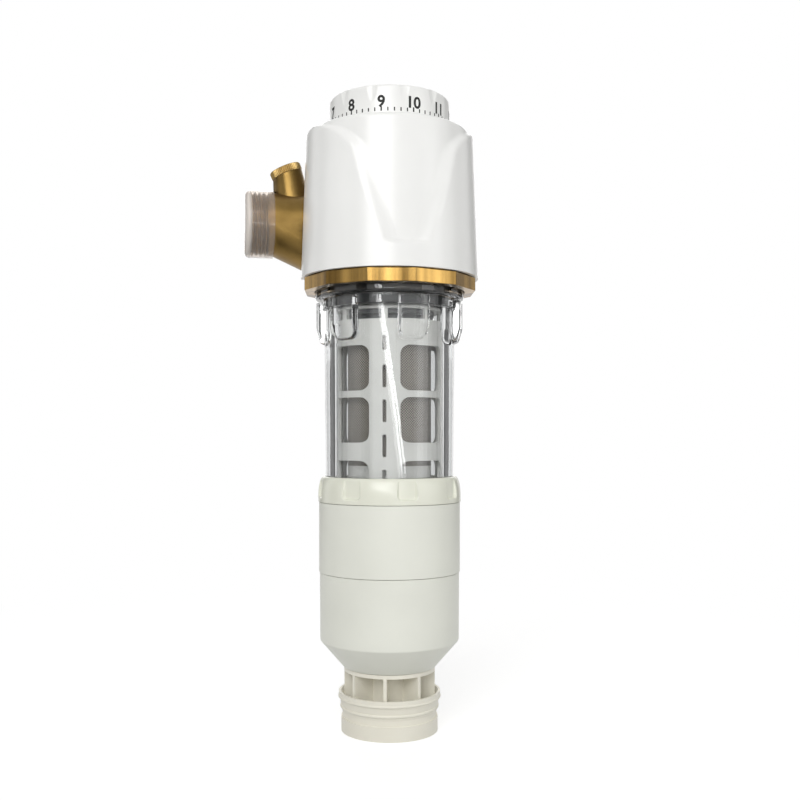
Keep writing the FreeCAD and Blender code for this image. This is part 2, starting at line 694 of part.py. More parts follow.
def bowl():
    """Clear bowl: foot, flange, long tube, bead, retaining flange and the neck for the head."""
    foot_seal = bowl_foot_seal_height()
    foot_groove_r = COLLAR_BORE_R - ORING_T
    neck_seal = neck_seal_height()
    neck_groove_r = NECK_R + AIR - ORING_T
    shell = turned([
        (BOWL_IN_R, Z_BOWL),
        (BOWL_FOOT_R, Z_BOWL),
        (BOWL_FOOT_R, foot_seal - ORING_T / 2),
        (foot_groove_r, foot_seal - ORING_T / 2),
        (foot_groove_r, foot_seal + ORING_T / 2),
        (BOWL_FOOT_R, foot_seal + ORING_T / 2),
        (BOWL_FOOT_R, Z_FOOT_FLANGE),
        (BOWL_FLANGE_R, Z_FOOT_FLANGE),
        (BOWL_FLANGE_R, Z_TUBE),
        (TUBE_FOOT_R, Z_TUBE),
        (TUBE_TOP_R, Z_UNDERCUT),
        (UNDERCUT_R, Z_UNDERCUT),
        (UNDERCUT_R, Z_BEAD),
        (BEAD_R, Z_BEAD),
        (BEAD_R, Z_RETAIN),
        (RETAIN_R, Z_RETAIN),
        (RETAIN_R, Z_NECK),
        (NECK_R, Z_NECK),
        (NECK_R, neck_seal - ORING_T / 2),
        (neck_groove_r, neck_seal - ORING_T / 2),
        (neck_groove_r, neck_seal + ORING_T / 2),
        (NECK_R, neck_seal + ORING_T / 2),
        (NECK_R, Z_NECK_TOP),
        (NECK_BORE_R, Z_NECK_TOP),
        (NECK_BORE_R, Z_UNDERCUT),
        (BOWL_IN_R, Z_UNDERCUT),
    ])
    shell = shell.makeFillet(BEAD_ROUND, circle_edges(shell, BEAD_R, Z_BEAD))
    return fuse(shell, around(bowl_lug(), LUGS, -90 + LUG_TURN))


def bowl_neck_seal():
    centre = NECK_R + AIR - ORING_T / 2
    return round_seal(centre, ORING_T, neck_seal_height())


def slip_ring():
    """Flat ring that lets the union ring turn on the bowl's flange."""
    return ring(RETAIN_R, RING_LIP_R, Z_SLIP_RING, Z_RETAIN)


def union_ring():
    """Brass cap nut: a band with flats, an inner lip and a threaded neck inside the hood."""
    band_top = Z_RING + RING_BAND_H
    band = turned([
        (RING_LIP_R, Z_RING),
        (RING_R, Z_RING),
        (RING_R, band_top),
        (RING_NECK_R, band_top),
        (RING_NECK_R, band_top + RING_NECK_H),
        (THREAD_R + AIR, band_top + RING_NECK_H),
        (THREAD_R + AIR, Z_SLIP_RING),
        (RING_LIP_R, Z_SLIP_RING),
    ])
    corners = [
        point(RING_R * math.cos(a), RING_R * math.sin(a), Z_RING - 1)
        for a in (2 * math.pi * (i + 0.5) / RING_FLATS for i in range(RING_FLATS))
    ]
    outline = Part.Face(Part.makePolygon(corners + corners[:1]))
    prism = outline.extrude(point(0, 0, RING_BAND_H + RING_NECK_H + 2))
    return band.common(turned_to(prism, -90 + RING_TURN))


def filter_seat():
    """Spoked ring in the bowl's neck that centres the element and lets water down past it."""
    wall = ring(SEAT_R, SEAT_R - SEAT_WALL, Z_UNDERCUT, Z_NECK_TOP)
    hub = ring(SEAT_HUB_R, OUT_TUBE_R, Z_ELEMENT_SHOULDER, Z_ELEMENT_SHOULDER + SEAT_HUB_H)
    low = Z_ELEMENT_SHOULDER + SEAT_SPOKE_RISE
    spoke = radial_slab(SEAT_SPOKE_T, SEAT_HUB_R - 1, SEAT_R - 1, low,
                        Z_ELEMENT_SHOULDER + SEAT_HUB_H)
    return fuse(wall, hub, around(spoke, SEAT_SPOKES, -90 + LUG_TURN))


def element_seal_height():
    return Z_ELEMENT_SHOULDER + OUT_TUBE_H - 2 * TUBE_SEAL_T


def element_top_ring():
    """Upper end of the element: mesh plate, neck for the bush and the outlet tube."""
    seal = element_seal_height()
    groove_r = HUB_BORE_R - TUBE_SEAL_T
    return turned([
        (OUT_TUBE_BORE_R, Z_MESH_TOP),
        (MESH_R, Z_MESH_TOP),
        (MESH_R, Z_MESH_TOP + TOP_PLATE_T),
        (TOP_NECK_R, Z_MESH_TOP + TOP_PLATE_T),
        (TOP_NECK_R, Z_ELEMENT_SHOULDER),
        (OUT_TUBE_R, Z_ELEMENT_SHOULDER),
        (OUT_TUBE_R, seal - TUBE_SEAL_T / 2),
        (groove_r, seal - TUBE_SEAL_T / 2),
        (groove_r, seal + TUBE_SEAL_T / 2),
        (OUT_TUBE_R, seal + TUBE_SEAL_T / 2),
        (OUT_TUBE_R, Z_ELEMENT_SHOULDER + OUT_TUBE_H),
        (OUT_TUBE_BORE_R, Z_ELEMENT_SHOULDER + OUT_TUBE_H),
    ])


def element_seal():
    return round_seal(HUB_BORE_R - TUBE_SEAL_T / 2, TUBE_SEAL_T, element_seal_height())


def mesh_sleeve():
    return ring(MESH_R, MESH_R - MESH_T, Z_MESH, Z_MESH_TOP)


def mesh_core():
    """Barred tube inside the mesh that keeps it round under pressure."""
    outer = MESH_R - MESH_T
    tube = ring(outer, outer - CORE_T, Z_MESH, Z_MESH_TOP)
    pitch = MESH_H / CORE_ROWS
    width = 2 * outer * math.sin(math.pi / CORE_COLUMNS) - CORE_BAR
    windows = []
    for row in range(CORE_ROWS):
        low = Z_MESH + row * pitch + CORE_BAR / 2
        window = radial_slab(width, outer / 2, outer + 2, low, low + pitch - CORE_BAR)
        windows += around(window, CORE_COLUMNS, CAGE_TURN)
    return cut(tube, windows)


def element_end_cap():
    """Lower end of the element, with the bearing for the drive stem."""
    low = Z_END_CAP - END_BOSS_DROP
    return turned([
        (STEM_R + RUN, low),
        (END_BOSS_R, low),
        (END_BOSS_R, Z_END_CAP),
        (MESH_R, Z_END_CAP),
        (MESH_R, Z_MESH),
        (0, Z_MESH),
        (0, Z_STEM_TOP + AIR),
        (STEM_R + RUN, Z_STEM_TOP + AIR),
    ])


def cage_top_bush():
    """Bush on the element's neck, inside the cage's top lip."""
    top = Z_CAGE_TOP - AIR
    return ring(CAGE_LIP_R, TOP_NECK_R, top - BUSH_H, top)


def jet_cage():
    """Windowed sleeve with four jet columns, carried by the drive stem."""
    inner = CAGE_R - CAGE_WALL
    top_bore = CAGE_LIP_R + RUN
    sleeve = turned([
        (inner, Z_CAGE),
        (CAGE_R, Z_CAGE),
        (CAGE_R, Z_CAGE_TOP),
        (top_bore, Z_CAGE_TOP),
        (top_bore, Z_CAGE_TOP - CAGE_TOP_T),
        (inner, Z_CAGE_TOP - CAGE_TOP_T),
    ])
    sleeve = sleeve.makeFillet(CAGE_TOP_ROUND, circle_edges(sleeve, CAGE_R, Z_CAGE_TOP))
    hub = ring(CAGE_HUB_R, STEM_R, Z_CAGE_HUB, Z_CAGE_HUB + CAGE_HUB_H)
    spoke = radial_slab(CAGE_SPOKE_T, CAGE_HUB_R - 1, inner + 1, Z_CAGE, Z_CAGE + CAGE_FLOOR_T)
    strip_top = Z_CAGE_TOP - STRIP_DROP
    strip_ring = ring(CAGE_R + STRIP_T, inner, Z_CAGE, strip_top)
    strip = strip_ring.common(radial_slab(STRIP_W, inner - 2, CAGE_R + 2, Z_CAGE, strip_top))
    cage = fuse(sleeve, hub, around(spoke, CAGE_SPOKES, CAGE_TURN),
                around(strip, CAGE_COLUMNS, CAGE_TURN))

    half = math.radians(360.0 / CAGE_COLUMNS - CAGE_COLUMN_ANGLE) / 2
    window_w = 2 * CAGE_R * math.sin(half)
    row_tops = [
        Z_CAGE_TOP - WINDOW_DROP,
        Z_CAGE_TOP - WINDOW_DROP - WINDOW_H - THIN_BAR_H,
        Z_CAGE_TOP - WINDOW_DROP - 2 * WINDOW_H - THIN_BAR_H - WIDE_BAR_H,
    ]
    tools = []
    for top in row_tops:
        window = rounded_panel(window_w, top - WINDOW_H, top, WINDOW_ROUND, inner / 2, CAGE_R + 2)
        tools += around(window, CAGE_COLUMNS, CAGE_TURN + 180.0 / CAGE_COLUMNS)
    vent_w = 2 * CAGE_R * math.sin(math.radians(VENT_ANGLE / 2))
    vent_top = Z_CAGE_TOP - VENT_DROP
    vent = radial_slab(vent_w, inner / 2, CAGE_R + 2, vent_top - VENT_H, vent_top)
    tools += around(vent, VENTS, CAGE_TURN + 180.0 / VENTS)
    jets = [(Z_CAGE_TOP - SHORT_JET_DROP, SHORT_JET_L)]
    jets += [(Z_CAGE_TOP - JET_DROP - i * JET_PITCH, JET_L) for i in range(JETS)]
    for top, length in jets:
        slot = rounded_panel(JET_W, top - length, top, JET_W / 2, inner / 2, CAGE_R + 2)
        tools += around(slot, CAGE_COLUMNS, CAGE_TURN)
    return cut(cage, tools)


def pipe_line(radius, x_from, x_to):
    """A cylinder on the pipe line's axis."""
    return Part.makeCylinder(radius, x_to - x_from, point(x_from, BRANCH_Y, Z_BRANCH), X_AXIS)


def gauge_frame(shape):
    """Moves a shape built up along Z from the origin onto the gauge port's leaning face."""
    placed = shape.copy()
    placed.rotate(ORIGIN, point(0, 1, 0), -GAUGE_LEAN)
    placed.translate(point(-GAUGE_TOP_X, BRANCH_Y, Z_BRANCH + GAUGE_RISE))
    return placed


def gauge_port():
    """Cast boss on the branch: upright at its foot, with a leaning face for the plug."""
    foot = Part.Wire(Part.makeCircle(GAUGE_R, point(-GAUGE_X, BRANCH_Y, Z_BRANCH), Z_AXIS))
    face = Part.Wire(gauge_frame(Part.makeCircle(GAUGE_TOP_R, ORIGIN, Z_AXIS)))
    return Part.makeLoft([foot, face], True, True)


def gauge_hole():
    return gauge_frame(Part.makeCylinder(GAUGE_HOLE_R, GAUGE_HOLE_DEPTH + 5,
                                         point(0, 0, -GAUGE_HOLE_DEPTH), Z_AXIS))


def branch_flare():
    """Cast web under the inlet branch, from a round section down to a lower one."""
    small = Part.makeCircle(BRANCH_R, point(AIR - CAP_MOUTH_X, BRANCH_Y, Z_BRANCH), X_AXIS)
    large = Part.makeCircle(FLARE_R, point(-FLARE_X, BRANCH_Y, Z_BRANCH - FLARE_DROP), X_AXIS)
    flare = Part.makeLoft([Part.Wire(small), Part.Wire(large)], True, True)
    ring_top = Z_RING + RING_BAND_H + RING_NECK_H + AIR
    return flare.cut(Part.makeCylinder(RING_NECK_R + AIR, ring_top - Z_HEAD, point(0, 0, Z_HEAD)))


def head_body():
    """Brass casting: threaded neck, water chamber, pipe line with both branches, hood boss."""
    neck_bore = NECK_R + AIR
    hub_r = HUB_BORE_R + HUB_WALL
    barrel_top = Z_HEAD_THREAD + HEAD_CHAMFER_H + HEAD_BARREL_H
    core = turned([
        (neck_bore, Z_HEAD),
        (THREAD_R, Z_HEAD),
        (THREAD_R, Z_HEAD_THREAD),
        (HEAD_R, Z_HEAD_THREAD + HEAD_CHAMFER_H),
        (HEAD_R, barrel_top),
        (HEAD_TOP_R, barrel_top + HEAD_DOME_H),
        (BOSS_R, barrel_top + HEAD_DOME_H + HEAD_PEAK_H),
        (BOSS_R, Z_HOOD_PLATE),
        (0, Z_HOOD_PLATE),
        (0, Z_ROOF + HUB_BORE_H),
        (HUB_BORE_R, Z_ROOF + HUB_BORE_H),
        (HUB_BORE_R, Z_ROOF - HUB_DROP),
        (hub_r, Z_ROOF - HUB_DROP),
        (hub_r, Z_ROOF),
        (NECK_BORE_R, Z_ROOF),
        (NECK_BORE_R, Z_NECK_BORE),
        (neck_bore, Z_NECK_BORE),
    ])
    hub_tool = Part.makeCylinder(HUB_BORE_R, HUB_BORE_H + HUB_DROP, point(0, 0, Z_ROOF - HUB_DROP))
    inlet_shank = pipe_line(BRANCH_R, INLET_THREAD_L - INLET_X, -NECKED_X)
    inlet_core = pipe_line(INLET_CORE_R, -INLET_X, -NECKED_X)
    outlet_shank = pipe_line(BRANCH_R, NECKED_X, OUTLET_X - SOCKET_L)
    outlet_socket = pipe_line(OUTLET_R, OUTLET_X - SOCKET_L - 2, OUTLET_X)
    necked = pipe_line(NECKED_R, -NECKED_X - 1, NECKED_X + 1)
    body = fuse(core, inlet_shank, inlet_core, outlet_shank, outlet_socket, necked,
                branch_flare(), gauge_port())

    link_end = point(BRIDGE_L, BRANCH_Y, 0)
    link = Part.makeCylinder(PASSAGE_R, link_end.Length, point(0, 0, Z_BRANCH), link_end)
    down = Part.makeCylinder(PASSAGE_R, Z_BRANCH - Z_ROOF + 1, point(-DOWN_X, DOWN_Y, Z_ROOF - 1))
    water = [
        hub_tool,
        pipe_line(BRANCH_BORE_R, -INLET_X - 1, -NECKED_X),
        pipe_line(NECKED_BORE_R, -NECKED_X - 1, -BRIDGE_L / 2),
        pipe_line(NECKED_BORE_R, BRIDGE_L / 2, NECKED_X + 1),
        pipe_line(BRANCH_BORE_R, NECKED_X, OUTLET_X),
        pipe_line(SOCKET_R, OUTLET_X - SOCKET_L, OUTLET_X + 1),
        link,
        down,
        gauge_hole(),
        Part.makeCylinder(HOOD_SCREW_R, HOOD_SCREW_DEPTH + 1,
                          point(0, 0, Z_HOOD_PLATE - HOOD_SCREW_DEPTH)),
    ]
    return cut(body, water)


def gauge_plug_seal():
    washer = ring(PLUG_SEAL_R, GAUGE_HOLE_R, 0, PLUG_SEAL_T)
    return gauge_frame(washer)


def gauge_port_plug():
    """Brass plug: a round head on the port's washer and a shank in its hole."""
    head = Part.makeCylinder(PLUG_R, PLUG_H, point(0, 0, PLUG_SEAL_T))
    shank = Part.makeCylinder(GAUGE_HOLE_R, PLUG_SHANK_L, point(0, 0, PLUG_SEAL_T - PLUG_SHANK_L))
    return gauge_frame(fuse(head, shank))


def inlet_cap():
    """Thin plastic transport cap pushed over the inlet's thread."""
    face = -INLET_X - AIR
    outer = pipe_line(CAP_IN_R + CAP_WALL, face - CAP_END_T, -CAP_MOUTH_X)
    inner = pipe_line(CAP_IN_R, face, 1 - CAP_MOUTH_X)
    return outer.cut(inner)


def panel_half(height):
    """Half width of the sunken panel in degrees, at a height above the hood's foot."""
    half = PANEL_FOOT_HALF + PANEL_SPREAD * max(height - PANEL_RISE, 0)
    into_arch = min(max((height - HOOD_H + ARCH_H) / ARCH_H, 0), 1)
    return half + ARCH_SPREAD * (1 - math.sqrt(1 - into_arch ** 2))


def hood_section(height, inset):
    """Closed horizontal outline of the hood: sunken front arc, two slopes and the rest."""
    radius = HOOD_FOOT_R + (HOOD_TOP_R - HOOD_FOOT_R) * height / HOOD_H - inset
    rounding = HOOD_ROUND - max(HOOD_H - height, 0)
    if rounding > 0:
        radius -= HOOD_ROUND - math.sqrt(HOOD_ROUND ** 2 - rounding ** 2)
    share = min(max((height - PANEL_RISE) / PANEL_FOOT_H, 0), 1)
    sunk = radius - PANEL_DEPTH * share
    outer = panel_half(height)
    inner = outer - PANEL_EDGE

    def at(r, degrees):
        """A point of the outline, with the angle counted from the front."""
        a = math.radians(degrees - 90)
        return point(r * math.cos(a), r * math.sin(a), Z_HOOD + height)

    middle = (radius + sunk) / 2
    arcs = [
        (at(sunk, -inner), at(sunk, 0), at(sunk, inner)),
        (at(sunk, inner), at(middle, (inner + outer) / 2), at(radius, outer)),
        (at(radius, outer), at(radius, 135), at(radius, 180)),
        (at(radius, 180), at(radius, 225), at(radius, -outer)),
        (at(radius, -outer), at(middle, -(inner + outer) / 2), at(sunk, -inner)),
    ]
    return Part.Wire([Part.Arc(*arc).toShape() for arc in arcs])


def hood_block(levels, inset):
    return Part.makeLoft([hood_section(level, inset) for level in levels], True, True)


def hood_notch(side, half_width):
    """Clears one branch: an arch in front, open to the hood's foot and to its rear."""
    low = Z_HOOD - 5
    arch = pipe_line(half_width, STRIP_HALF, HOOD_FOOT_R + 10)
    depth = HOOD_FOOT_R + 10 - STRIP_HALF
    below = Part.makeBox(depth, HOOD_FOOT_R, Z_BRANCH - low,
                         point(STRIP_HALF, BRANCH_Y - half_width, low))
    behind = Part.makeBox(depth, HOOD_FOOT_R, Z_BRANCH + half_width - low,
                          point(STRIP_HALF, BRANCH_Y, low))
    notch = arch.fuse([below, behind])
    if side < 0:
        notch = notch.mirror(ORIGIN, X_AXIS)
    return notch


def hood():
    """Moulded shell with the sunken front panel, branch notches and the dial's collar."""
    panel_top = HOOD_H - ARCH_H
    rises = [0, PANEL_RISE, PANEL_RISE + PANEL_FOOT_H, (PANEL_RISE + panel_top) / 2, panel_top]
    arch = [panel_top + ARCH_H * share for share in (0.4, 0.65)]
    start = HOOD_H - HOOD_ROUND
    edge = [start + HOOD_ROUND * math.sin(math.radians(a)) for a in (0, 30, 60, 90)]
    outside = hood_block(rises + arch + edge, 0)
    ceiling = HOOD_H - HOOD_WALL
    inside = hood_block([-1] + rises[1:] + arch + [ceiling - HOOD_ROUND / 2, ceiling], HOOD_WALL)
    bead_r = DIAL_R - DIAL_WALL - DIAL_BEAD - AIR
    lip_r = DIAL_R - DIAL_WALL - AIR
    lip_low = Z_DIAL + DIAL_BEAD_H + 2 * AIR
    collar = turned([
        (lip_r - DIAL_COLLAR_WALL, Z_HOOD_TOP - HOOD_WALL / 2),
        (bead_r, Z_HOOD_TOP - HOOD_WALL / 2),
        (bead_r, lip_low),
        (lip_r, lip_low),
        (lip_r, Z_HOOD_TOP + DIAL_COLLAR_H),
        (lip_r - DIAL_COLLAR_WALL, Z_HOOD_TOP + DIAL_COLLAR_H),
    ])
    screw_hole = Part.makeCylinder(HOOD_SCREW_R + AIR, 2 * HOOD_WALL,
                                   point(0, 0, Z_HOOD_PLATE - HOOD_WALL / 2))
    shell = cut(outside, inside, hood_notch(-1, BRANCH_R + NOTCH_AIR),
                hood_notch(1, OUTLET_R + NOTCH_AIR), screw_hole)
    return fuse(shell, collar)


def hood_screw():
    """Screw that holds the hood on the head's boss."""
    head = Part.makeCylinder(HOOD_SCREW_R + HOOD_SCREW_HEAD_W, HOOD_SCREW_HEAD_H, point(0, 0, Z_HOOD_TOP))
    length = HOOD_SCREW_DEPTH + HOOD_WALL - HOOD_SCREW_SPARE
    shank = Part.makeCylinder(HOOD_SCREW_R, length, point(0, 0, Z_HOOD_TOP - length))
    return fuse(head, shank)


def month_dial():
    """Cup that snaps over the hood's collar, with finger scallops round its upper edge."""
    inner = DIAL_R - DIAL_WALL
    cup = turned([
        (inner - DIAL_BEAD, Z_DIAL + AIR),
        (inner, Z_DIAL),
        (DIAL_R, Z_DIAL),
        (DIAL_R, Z_DIAL_TOP),
        (0, Z_DIAL_TOP),
        (0, Z_DIAL_TOP - DIAL_TOP_T),
        (inner, Z_DIAL_TOP - DIAL_TOP_T),
        (inner, Z_DIAL + DIAL_BEAD_H + AIR),
        (inner - DIAL_BEAD, Z_DIAL + DIAL_BEAD_H),
    ])
    cup = cup.makeFillet(DIAL_ROUND, circle_edges(cup, DIAL_R, Z_DIAL_TOP))
    lean = math.degrees(math.atan(SCALLOP_DEPTH / SCALLOP_H))
    scallop = Part.makeCylinder(SCALLOP_R, SCALLOP_H * 3, point(0, 0, -SCALLOP_H), Z_AXIS)
    scallop.rotate(ORIGIN, point(0, 1, 0), -lean)
    scallop.translate(point(DIAL_R + SCALLOP_R, 0, Z_DIAL_TOP - SCALLOP_H))
    return cut(cup, around(scallop, DIAL_SCALLOPS, SCALLOP_TURN))


NODES = {
    "month_dial": month_dial,
    "hood": hood,
    "hood_screw": hood_screw,
    "head_body": head_body,
    "gauge_port_plug": gauge_port_plug,
    "gauge_plug_seal": gauge_plug_seal,
    "inlet_cap": inlet_cap,
    "union_ring": union_ring,
    "slip_ring": slip_ring,
    "bowl": bowl,
    "bowl_neck_seal": bowl_neck_seal,
    "bowl_foot_seal": bowl_foot_seal,
    "filter_seat": filter_seat,
    "element_top_ring": element_top_ring,
    "element_seal": element_seal,
    "mesh_sleeve": mesh_sleeve,
    "mesh_core": mesh_core,
    "element_end_cap": element_end_cap,
    "cage_top_bush": cage_top_bush,
    "jet_cage": jet_cage,
    "lower_union_nut": lower_union_nut,
    "valve_housing": valve_housing,
    "fixed_disc": fixed_disc,
    "disc_seat_seal": disc_seat_seal,
    "turning_disc": turning_disc,
    "drive_stem": drive_stem,
    "shaft_seal": shaft_seal,
    "outlet_nozzle": outlet_nozzle,
    "drain_knob": drain_knob,
    "spigot_clip": spigot_clip,
    "drain_spigot": drain_spigot,
}

os.makedirs("parts", exist_ok=True)
for name, make in NODES.items():
    shape = make()
    assert shape.isValid(), name
    shape.exportStep(f"parts/{name}.step")
    print(f"{name}: {len(shape.Solids)} solid, {shape.Volume / 1000:.2f} cm3")
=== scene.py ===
# %% [markdown]
# # A self cleaning water filter, dressed in cells
#
# The filter stands upright: a white hood with a month dial sits over a brass pipe head, a clear
# bowl below it shows the jet cage and the wire mesh, and a drain knob with a pipe spigot ends it.
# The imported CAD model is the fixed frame. Pieces that the frame already shapes well only get a
# finish, and the ones that the eye rests on are made again here, finer, round the same axis.

# %% Load the frame
import math

import bmesh
import bpy
import numpy as np
from mathutils import Matrix, Vector


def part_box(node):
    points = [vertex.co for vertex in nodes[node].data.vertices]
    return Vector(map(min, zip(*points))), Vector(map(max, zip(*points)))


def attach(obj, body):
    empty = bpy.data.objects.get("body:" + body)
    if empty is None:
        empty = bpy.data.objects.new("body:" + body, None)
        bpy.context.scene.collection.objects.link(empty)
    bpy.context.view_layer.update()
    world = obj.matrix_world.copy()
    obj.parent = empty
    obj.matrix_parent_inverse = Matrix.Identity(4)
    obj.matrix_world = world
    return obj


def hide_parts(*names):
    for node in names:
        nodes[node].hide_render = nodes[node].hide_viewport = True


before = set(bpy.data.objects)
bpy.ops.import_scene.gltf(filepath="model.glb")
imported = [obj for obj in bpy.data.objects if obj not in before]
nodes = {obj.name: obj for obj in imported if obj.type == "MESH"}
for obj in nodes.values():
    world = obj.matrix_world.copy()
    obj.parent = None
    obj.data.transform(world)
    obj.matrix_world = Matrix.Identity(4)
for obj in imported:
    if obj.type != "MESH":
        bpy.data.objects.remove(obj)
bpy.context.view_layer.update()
MM = 0.001


def lowest(node):
    """The node's lowest corner, in millimetres."""
    return np.array(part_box(node)[0]) / MM


def highest(node):
    """The node's highest corner, in millimetres."""
    return np.array(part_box(node)[1]) / MM


# %% [markdown]
# ## Grids, outlines and sweeps
# Nearly every piece of a filter is turned or moulded round one axis. So a piece is a grid of
# points: its rows go round, its columns follow the section. A section that runs counterclockwise
# in (radius, height) gives faces that look outwards. Blender's Screw modifier could spin a section
# too, but only a grid can bend each of its points by a formula, as the notches and scallops need.


# %% Mesh from grids
def quads(rows, cols, loop_rows, loop_cols):
    """Corner numbers of every quad of a rows x cols grid; a looped direction closes on itself."""
    i, j = np.meshgrid(
        np.arange(rows if loop_rows else rows - 1),
        np.arange(cols if loop_cols else cols - 1),
        indexing="ij",
    )
    i2, j2 = (i + 1) % rows, (j + 1) % cols
    return np.stack([i * cols + j, i2 * cols + j, i2 * cols + j2, i * cols + j2], -1).reshape(-1, 4)


def build(name, grids, loops, material, body, nodes_under=(), crease=32.0, uv=None):
    """One mesh from one or more grids of points in millimetres, welded where they meet."""
    corners, faces, start = [], [], 0
    for grid, loop in zip(grids, loops):
        rows, cols = grid.shape[:2]
        corners.append(grid.reshape(-1, 3) * MM)
        faces.append(quads(rows, cols, *loop) + start)
        start += rows * cols
    mesh = bpy.data.meshes.new(name)
    mesh.from_pydata(np.concatenate(corners).tolist(), [], np.concatenate(faces).tolist())
    if uv is not None:
        layer = mesh.uv_layers.new(name="weave")
        index = np.zeros(len(mesh.loops), int)
        mesh.loops.foreach_get("vertex_index", index)
        layer.data.foreach_set("uv", uv.reshape(-1, 2)[index].astype(np.float32).ravel())
    return finish_mesh(name, mesh, material, body, nodes_under, crease)


def put(name, data):
    """A new object in the scene that carries that data."""
    item = bpy.data.objects.new(name, data)
    bpy.context.scene.collection.objects.link(item)
    return item


def finish_mesh(name, mesh, material, body, nodes_under=(), crease=32.0):
    """Welds doubles, smooths under the crease angle, and rides on its body."""
    bm = bmesh.new()
    bm.from_mesh(mesh)
    bmesh.ops.remove_doubles(bm, verts=bm.verts, dist=1e-6)
    bmesh.ops.dissolve_degenerate(bm, edges=bm.edges, dist=1e-7)
    bmesh.ops.recalc_face_normals(bm, faces=bm.faces)
    bm.to_mesh(mesh)
    bm.free()
    mesh.shade_smooth()
    mesh.set_sharp_from_angle(angle=math.radians(crease))
    piece = put(name, mesh)
    piece.data.materials.append(material)
    weighted = piece.modifiers.new("flat faces lead", "WEIGHTED_NORMAL")
    weighted.keep_sharp = True
    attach(piece, body)
    if nodes_under:
        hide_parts(*nodes_under)
    print(f"{name}: {len(mesh.polygons)} faces")
    return piece


# %% Sections carried round the axis
def section_of(*corners):
    """A sharp section from (radius, height) corners."""
    return np.array(corners, float)


def outline(corners, steps):
    """A section from (radius, height, round) corners. Each round is an arc that touches both
    sides: its centre is on the corner's bisector, size / sin(half angle) away, and its points turn
    evenly from one touching point to the other."""
    spots = np.array([c[:2] for c in corners], float)
    out = []
    for i, (_, _, size) in enumerate(corners):
        here = spots[i]
        if size == 0:
            out.append(here[None])
            continue
        back, on = spots[i - 1] - here, spots[(i + 1) % len(spots)] - here
        back, on = back / np.linalg.norm(back), on / np.linalg.norm(on)
        half = math.acos(np.clip(back @ on, -1, 1)) / 2
        middle = (back + on) / np.linalg.norm(back + on)
        centre = here + middle * size / math.sin(half)
        reach = size / math.tan(half)
        a, b = here + back * reach - centre, here + on * reach - centre
        turn = math.acos(np.clip(a @ b / size**2, -1, 1))
        t = np.linspace(0, 1, steps)[:, None]
        out.append(centre + (np.sin((1 - t) * turn) * a + np.sin(t * turn) * b) / math.sin(turn))
    return np.concatenate(out)


def bearing(degrees):
    """Unit vectors at angles counted from the front (-Y) towards +X."""
    a = np.radians(degrees)
    return np.stack([np.sin(a), -np.cos(a)], -1)


def around_axis(degrees, radius, height):
    """Points at those angles, radii and heights, each an array of the grid's own shape."""
    flat = bearing(degrees) * np.asarray(radius)[..., None]
    return np.concatenate([flat, np.broadcast_to(height, np.shape(radius))[..., None]], -1)


def upright(radius, heights):
    """Points at those heights, at one radius or at a radius each."""
    return np.stack([np.broadcast_to(radius, heights.shape), heights], -1)


def rounded_top(radius, top, inwards, down, steps):
    """A wall's top edge as a quarter ellipse, (r - inwards (1 - cos t), z - down (1 - sin t)), after
    the point where it leaves the wall."""
    t = np.radians(np.linspace(0, 90, steps))
    return np.stack([radius - inwards * (1 - np.cos(t)), top - down * (1 - np.sin(t))], -1)[1:]


def laid_round(section, degrees):
    """Angle, radius and height over a grid: each row is the whole section, turned to its angle."""
    shape = (len(degrees), len(section))
    return [np.broadcast_to(a, shape) for a in (degrees[:, None], section[:, 0], section[:, 1])]


def round_grid(section, segments):
    """The section laid evenly round the axis: row i is turned by i / segments of a full turn."""
    return laid_round(section, np.arange(segments) * 360.0 / segments)


def spin(section, segments=180):
    """A section carried once round the axis: the point at (angle, i) is the section's point i,
    turned by the angle."""
    return around_axis(*round_grid(section, segments))


# %% [markdown]
# ## Finishes
# Moulded plastic is never one flat colour: it has a slight cloud in its tone, a fine grain and a
# gloss that varies. Each finish below is built from noise in Object coordinates, so the pattern is
# fixed in the part. Only what varies goes through nodes. A value that is
# the same all over is set on the shader's own socket.


# %% Finish helpers
def srgb(r, g, b):
    """A screen colour from 0 to 255 as the linear colour that a shader takes."""
    c = np.array([r, g, b]) / 255
    return tuple(np.where(c <= 0.04045, c / 12.92, ((c + 0.055) / 1.055) ** 2.4)) + (1.0,)


def new_material(name):
    """A material, its nodes, its links and its shader."""
    mat = bpy.data.materials.new(name)
    mat.use_nodes = True
    return mat, mat.node_tree.nodes, mat.node_tree.links, mat.node_tree.nodes["Principled BSDF"]


def noise(tree_nodes, links, scale, detail=3.0, stretch=None):
    """Noise in Object coordinates. stretch is a factor for each axis: above 1 it squeezes the
    pattern along that axis, and below 1 it draws the pattern out."""
    coords = tree_nodes.new("ShaderNodeTexCoord")
    texture = tree_nodes.new("ShaderNodeTexNoise")
    texture.inputs["Scale"].default_value = scale
    texture.inputs["Detail"].default_value = detail
    source = coords.outputs["Object"]
    if stretch:
        mapping = tree_nodes.new("ShaderNodeMapping")
        mapping.inputs["Scale"].default_value = stretch
        links.new(source, mapping.inputs["Vector"])
        source = mapping.outputs["Vector"]
    links.new(source, texture.inputs["Vector"])
    return texture.outputs["Fac"]


def ramp(tree_nodes, links, source, dark, light, low=0.3, high=0.7):
    """Turns a value into a colour between two colours."""
    colours = tree_nodes.new("ShaderNodeValToRGB")
    colours.color_ramp.elements[0].position = low
    colours.color_ramp.elements[0].color = dark
    colours.color_ramp.elements[1].position = high
    colours.color_ramp.elements[1].color = light
    links.new(source, colours.inputs["Fac"])
    return colours.outputs["Color"]


